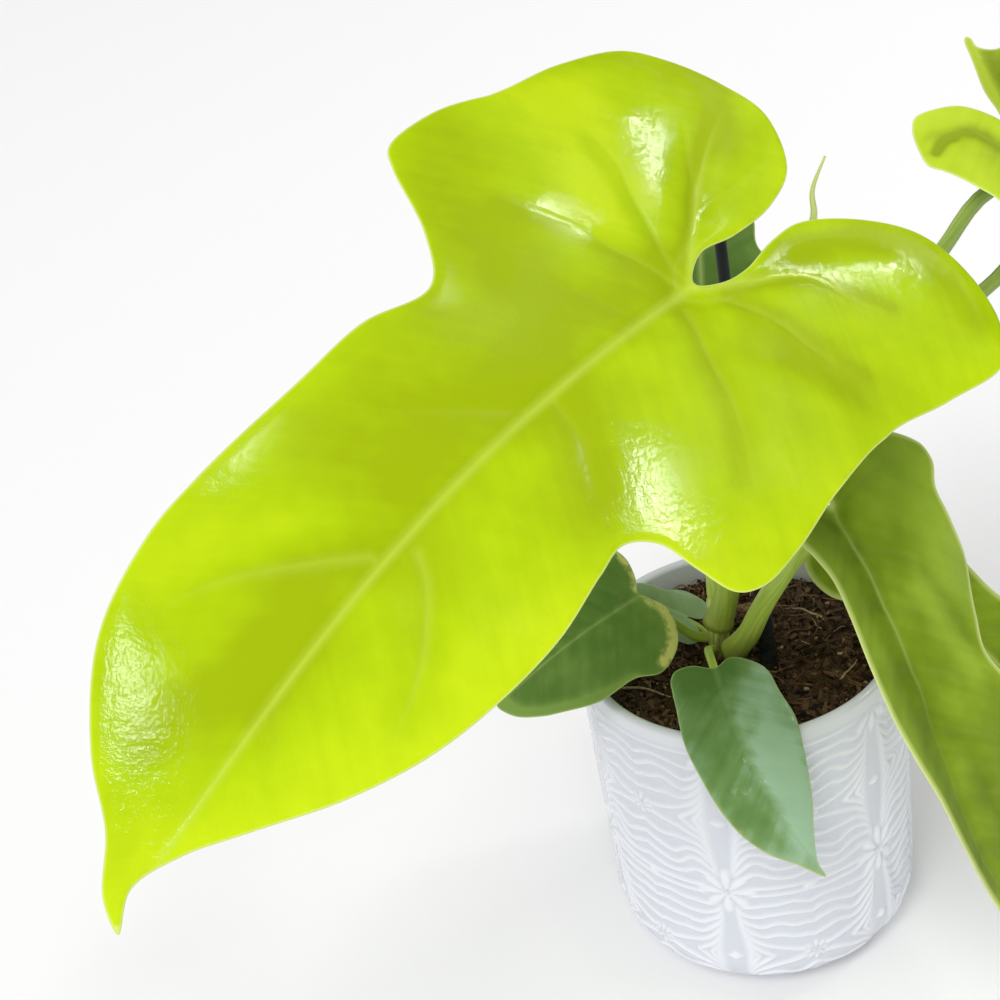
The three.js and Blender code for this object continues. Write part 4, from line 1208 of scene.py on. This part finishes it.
def soil_body():
    """The filled-in mix, up to its uneven top."""
    inside = POT_RIM_RADIUS - POT_WALL - SOIL_GAP
    rings = [(inside - inset, height + 0.3, False) for inset, height in reversed(POT_INSIDE)]
    rings += [(inside - 0.1, SOIL_TOP - 1, False)]
    rings += [(inside * share, SOIL_TOP, True) for share in np.linspace(0.97, 0.02, SOIL_TOP_RINGS)]
    points = []
    for radius, height, is_top in rings:
        for side in range(SOIL_SIDES):
            turn = 2 * math.pi * side / SOIL_SIDES
            x = radius * math.cos(turn)
            y = radius * math.sin(turn)
            points.append((x, y, soil_height(x, y) if is_top else height))
    return points, tube_faces(len(rings), SOIL_SIDES)


def chip(draw, centre, length, width, height):
    """A split bark chip: a box with uneven corners, thinner at one end."""
    turn = Matrix.Rotation(draw.uniform(0, 2 * math.pi), 3, "Z")
    tilt = Matrix.Rotation(draw.gauss(0, 0.3), 3, "X") @ Matrix.Rotation(draw.gauss(0, 0.3), 3, "Y")
    points = []
    for x in (-0.5, 0.5):
        taper = 1 if x < 0 else draw.uniform(0.25, 0.9)
        for y, z in ((-0.5, -0.5), (0.5, -0.5), (0.5, 0.5), (-0.5, 0.5)):
            corner = Vector((
                x * length * draw.uniform(0.7, 1.1),
                y * width * taper * draw.uniform(0.6, 1.2),
                z * height * taper * draw.uniform(0.6, 1.2),
            ))
            points.append(centre + turn @ tilt @ corner)
    faces = [(3, 2, 1, 0), (4, 5, 6, 7), (0, 1, 5, 4), (1, 2, 6, 5), (2, 3, 7, 6), (3, 0, 4, 7)]
    return points, faces


def fibre(draw, start, heading, length, radius, lift, curl):
    """A bent coir fibre that lies on the mix."""
    path = []
    x, y = start
    steps = 6
    for step in range(steps + 1):
        height = soil_height(x, y) + lift + 0.8 * math.sin(math.pi * step / steps) + draw.uniform(-0.3, 0.4)
        path.append((x, y, height))
        heading += draw.gauss(0, curl)
        x += length / steps * math.cos(heading)
        y += length / steps * math.sin(heading)
        away = math.hypot(x, y)
        if away > SOIL_REACH:
            x *= SOIL_REACH / away
            y *= SOIL_REACH / away
            heading += 1.2

    def radius_at(share, turn):
        return radius * (1 - 0.6 * share)

    points, faces, _ = sweep(path, radius_at, rings=13, sides=5, upper=(0.1, 0.2, 1))
    return [Vector(p) for p in points], faces


def make_soil(material):
    """The mix with loose chips, crumbs, fibres and roots on it, each with its own tint."""
    draw = random.Random(11)
    points, faces = soil_body()
    tint = [BODY_TINT] * len(points)

    def join(part, shade):
        more_points, more_faces = part
        first = len(points)
        points.extend(tuple(p) for p in more_points)
        faces.extend([first + i for i in face] for face in more_faces)
        tint.extend([min(1, max(0, shade))] * len(more_points))

    def somewhere(reach):
        away = reach * math.sqrt(draw.random())
        turn = draw.uniform(0, 2 * math.pi)
        return away * math.cos(turn), away * math.sin(turn)

    for _ in range(CHIPS):
        length = draw.uniform(*CHIP_LENGTHS)
        x, y = somewhere(SOIL_REACH - length / 2)
        centre = Vector((x, y, soil_height(x, y) + draw.uniform(-0.4, 1.6)))
        width = length * draw.uniform(*CHIP_SLIMNESS)
        join(chip(draw, centre, length, width, draw.uniform(*CHIP_THICKNESSES)), draw.gauss(*CHIP_TINT))
    for _ in range(CRUMBS):
        length = draw.uniform(*CRUMB_LENGTHS)
        x, y = somewhere(SOIL_REACH + 1 - length / 2)
        centre = Vector((x, y, soil_height(x, y) + draw.uniform(0, 1.8)))
        join(chip(draw, centre, length, length * 0.7, length * 0.6), draw.gauss(*CRUMB_TINT))
    for _ in range(FIBRES):
        start = somewhere(SOIL_REACH - 3)
        length = draw.uniform(*FIBRE_LENGTHS)
        heading = draw.uniform(0, 2 * math.pi)
        shape = fibre(draw, start, heading, length, draw.uniform(*FIBRE_RADII), 1.2, FIBRE_CURL)
        join(shape, draw.gauss(*FIBRE_TINT))
    for start, heading, length in ROOTS:
        join(fibre(draw, start, heading, length, ROOT_RADIUS, 2.0, ROOT_CURL), ROOT_TINT)
    marks = {"tint": tint}
    make_piece("bark_and_coir_mix", points, faces, material, "potting_mix", marks, smooth=False)


# Stake, stem and new leaf

def make_stake(material):
    """The stake, thicker at its foot, with a point below, a round end above and a seam."""
    width = STAKE_FOOT_RADIUS - STAKE_RADIUS

    def radius_at(share, turn):
        foot = 1 - smooth_step(share, 0.28, 0.6)
        point = smooth_step(share, -0.03, 0.08)
        cap = math.sqrt(max(0.05, 1 - max(0, (share - 0.994) / 0.006) ** 2))
        seam = 0.06 * hill(turn, 0.16)
        return ((STAKE_RADIUS + width * foot) * point + seam) * cap

    points, faces, marks = sweep(STAKE_PATH, radius_at, rings=200, sides=28)
    make_piece("plant_stake", points, faces, material, "support_stake", marks)


def make_stem(material):
    """The stem, with a swelling and a groove at each node and low ribs along it."""
    def radius_at(share, turn):
        swell = 0
        for node in STEM_NODES:
            swell += STEM_NODE_SWELL * hill(share - node, 0.018)
            swell -= STEM_NODE_GROOVE * hill(share - node - 0.022, 0.006)
        ribs = 0.05 * math.cos(7 * turn) + 0.04 * math.cos(11 * turn + 20 * share)
        return STEM_FOOT_RADIUS + (STEM_TIP_RADIUS - STEM_FOOT_RADIUS) * share + swell + ribs

    points, faces, marks = sweep(STEM_PATH, radius_at, rings=180, sides=32)
    ring = np.zeros(len(points))
    for node in STEM_NODES:
        ring = np.maximum(ring, hill(marks["share"] - node - 0.008, 0.009))
    marks["ring"] = 0.75 * ring
    make_piece("climbing_stem", points, faces, material, "stem", marks)


def make_new_leaf(material):
    """The rolled leaf, with the edge of the roll winding along it."""
    def groove(share, turn):
        return hill(turn - 0.4 - 2.2 * share, 0.22)

    def radius_at(share, turn):
        body = math.sin(math.pi * min(1, 0.22 + share * 0.78))
        plain = 0.45 + (NEW_LEAF_RADIUS - 0.45) * max(0, body) ** 1.3
        return plain * (1 - 0.12 * groove(share, turn))

    points, faces, marks = sweep(NEW_LEAF_PATH, radius_at, rings=110, sides=28)
    marks["ring"] = [groove(share, turn) for share, turn in zip(marks["share"], marks["turn"])]
    make_piece("rolled_new_leaf", points, faces, material, "new_leaf", marks)


# Setting

def make_camera():
    down = math.radians(CAMERA_DOWN_DEGREES)
    roll = math.radians(CAMERA_ROLL_DEGREES)
    camera = bpy.data.objects.new("camera", bpy.data.cameras.new("camera"))
    bpy.context.scene.collection.objects.link(camera)
    camera.data.lens = CAMERA_LENS
    turned = Matrix.Rotation(math.pi / 2 - down, 4, "X") @ Matrix.Rotation(-roll, 4, "Z")
    camera.matrix_world = Matrix.Translation(Vector(CAMERA_PLACE) * MM) @ turned
    camera.data.clip_start = 0.01
    camera.data.clip_end = 30
    bpy.context.scene.camera = camera


def make_light(name, kind, azimuth, elevation, distance, power):
    """A light round the plant. Azimuth 0 is the viewer's side, and 90 is to the right."""
    a = math.radians(azimuth)
    e = math.radians(elevation)
    away = Vector((math.sin(a) * math.cos(e), -math.cos(a) * math.cos(e), math.sin(e)))
    light = bpy.data.objects.new(name, bpy.data.lights.new(name, kind))
    light.data.energy = power
    light.location = Vector(LIGHT_TARGET) * MM + away * distance
    light.rotation_mode = "QUATERNION"
    light.rotation_quaternion = away.to_track_quat("Z", "Y")
    bpy.context.scene.collection.objects.link(light)
    return light


def make_studio():
    """The white room, the key light and the windows."""
    bpy.context.scene.view_settings.view_transform = "Standard"
    world = bpy.data.worlds.new("studio")
    bpy.context.scene.world = world
    world.use_nodes = True
    tree = world.node_tree
    direction = add_node(tree, "TexCoord").outputs["Generated"]
    sideways, _, upward = add_node(tree, "SeparateXYZ", {0: direction}).outputs
    walls = spread(tree, sideways, -1, 1, *ROOM_STRENGTH)
    background = tree.nodes["Background"]
    background.inputs["Color"].default_value = (1, 1, 1, 1)
    strength = spread(tree, upward, *LOW_ROOM_TOP, LOW_ROOM_STRENGTH, walls)
    tree.links.new(strength, background.inputs["Strength"])
    world.cycles_visibility.glossy = False
    key = make_light(*KEY_LIGHT)
    key.data.angle = math.radians(KEY_SOFTNESS_DEGREES)
    key.visible_glossy = False
    for name, azimuth, elevation, size, power in WINDOWS:
        window = make_light(name, "AREA", azimuth, elevation, WINDOW_DISTANCE, power)
        window.data.size = size


def make_floor():
    mesh = bpy.data.meshes.new("floor")
    corners = [(FLOOR_REACH * x, FLOOR_REACH * y, 0) for x, y in ((-1, -1), (1, -1), (1, 1), (-1, 1))]
    mesh.from_pydata(corners, [], [(0, 1, 2, 3)])
    material, tree, shader = new_material("white_floor")
    connect(tree, shader, Base_Color=FLOOR_COLOUR, Roughness=0.9, Specular_IOR_Level=0.1)
    mesh.materials.append(material)
    floor = bpy.data.objects.new("floor", mesh)
    bpy.context.scene.collection.objects.link(floor)


make_camera()
make_studio()
make_floor()
make_pot(pot_material())
make_soil(soil_material())
make_stake(stake_material())
make_stem(stem_material())
make_new_leaf(new_leaf_material())
leaf_finishes = {name: leaf_material(name) for name in PALETTES}
stalk_finishes = {name: stalk_material(name) for name in STALK_TINTS}
for leaf_values in LEAVES:
    plant_leaf = {**PLAIN_LEAF, **leaf_values}
    make_blade(plant_leaf, leaf_finishes[plant_leaf["palette"]])
    make_stalk(plant_leaf, stalk_finishes[plant_leaf["stalk_tint"]])
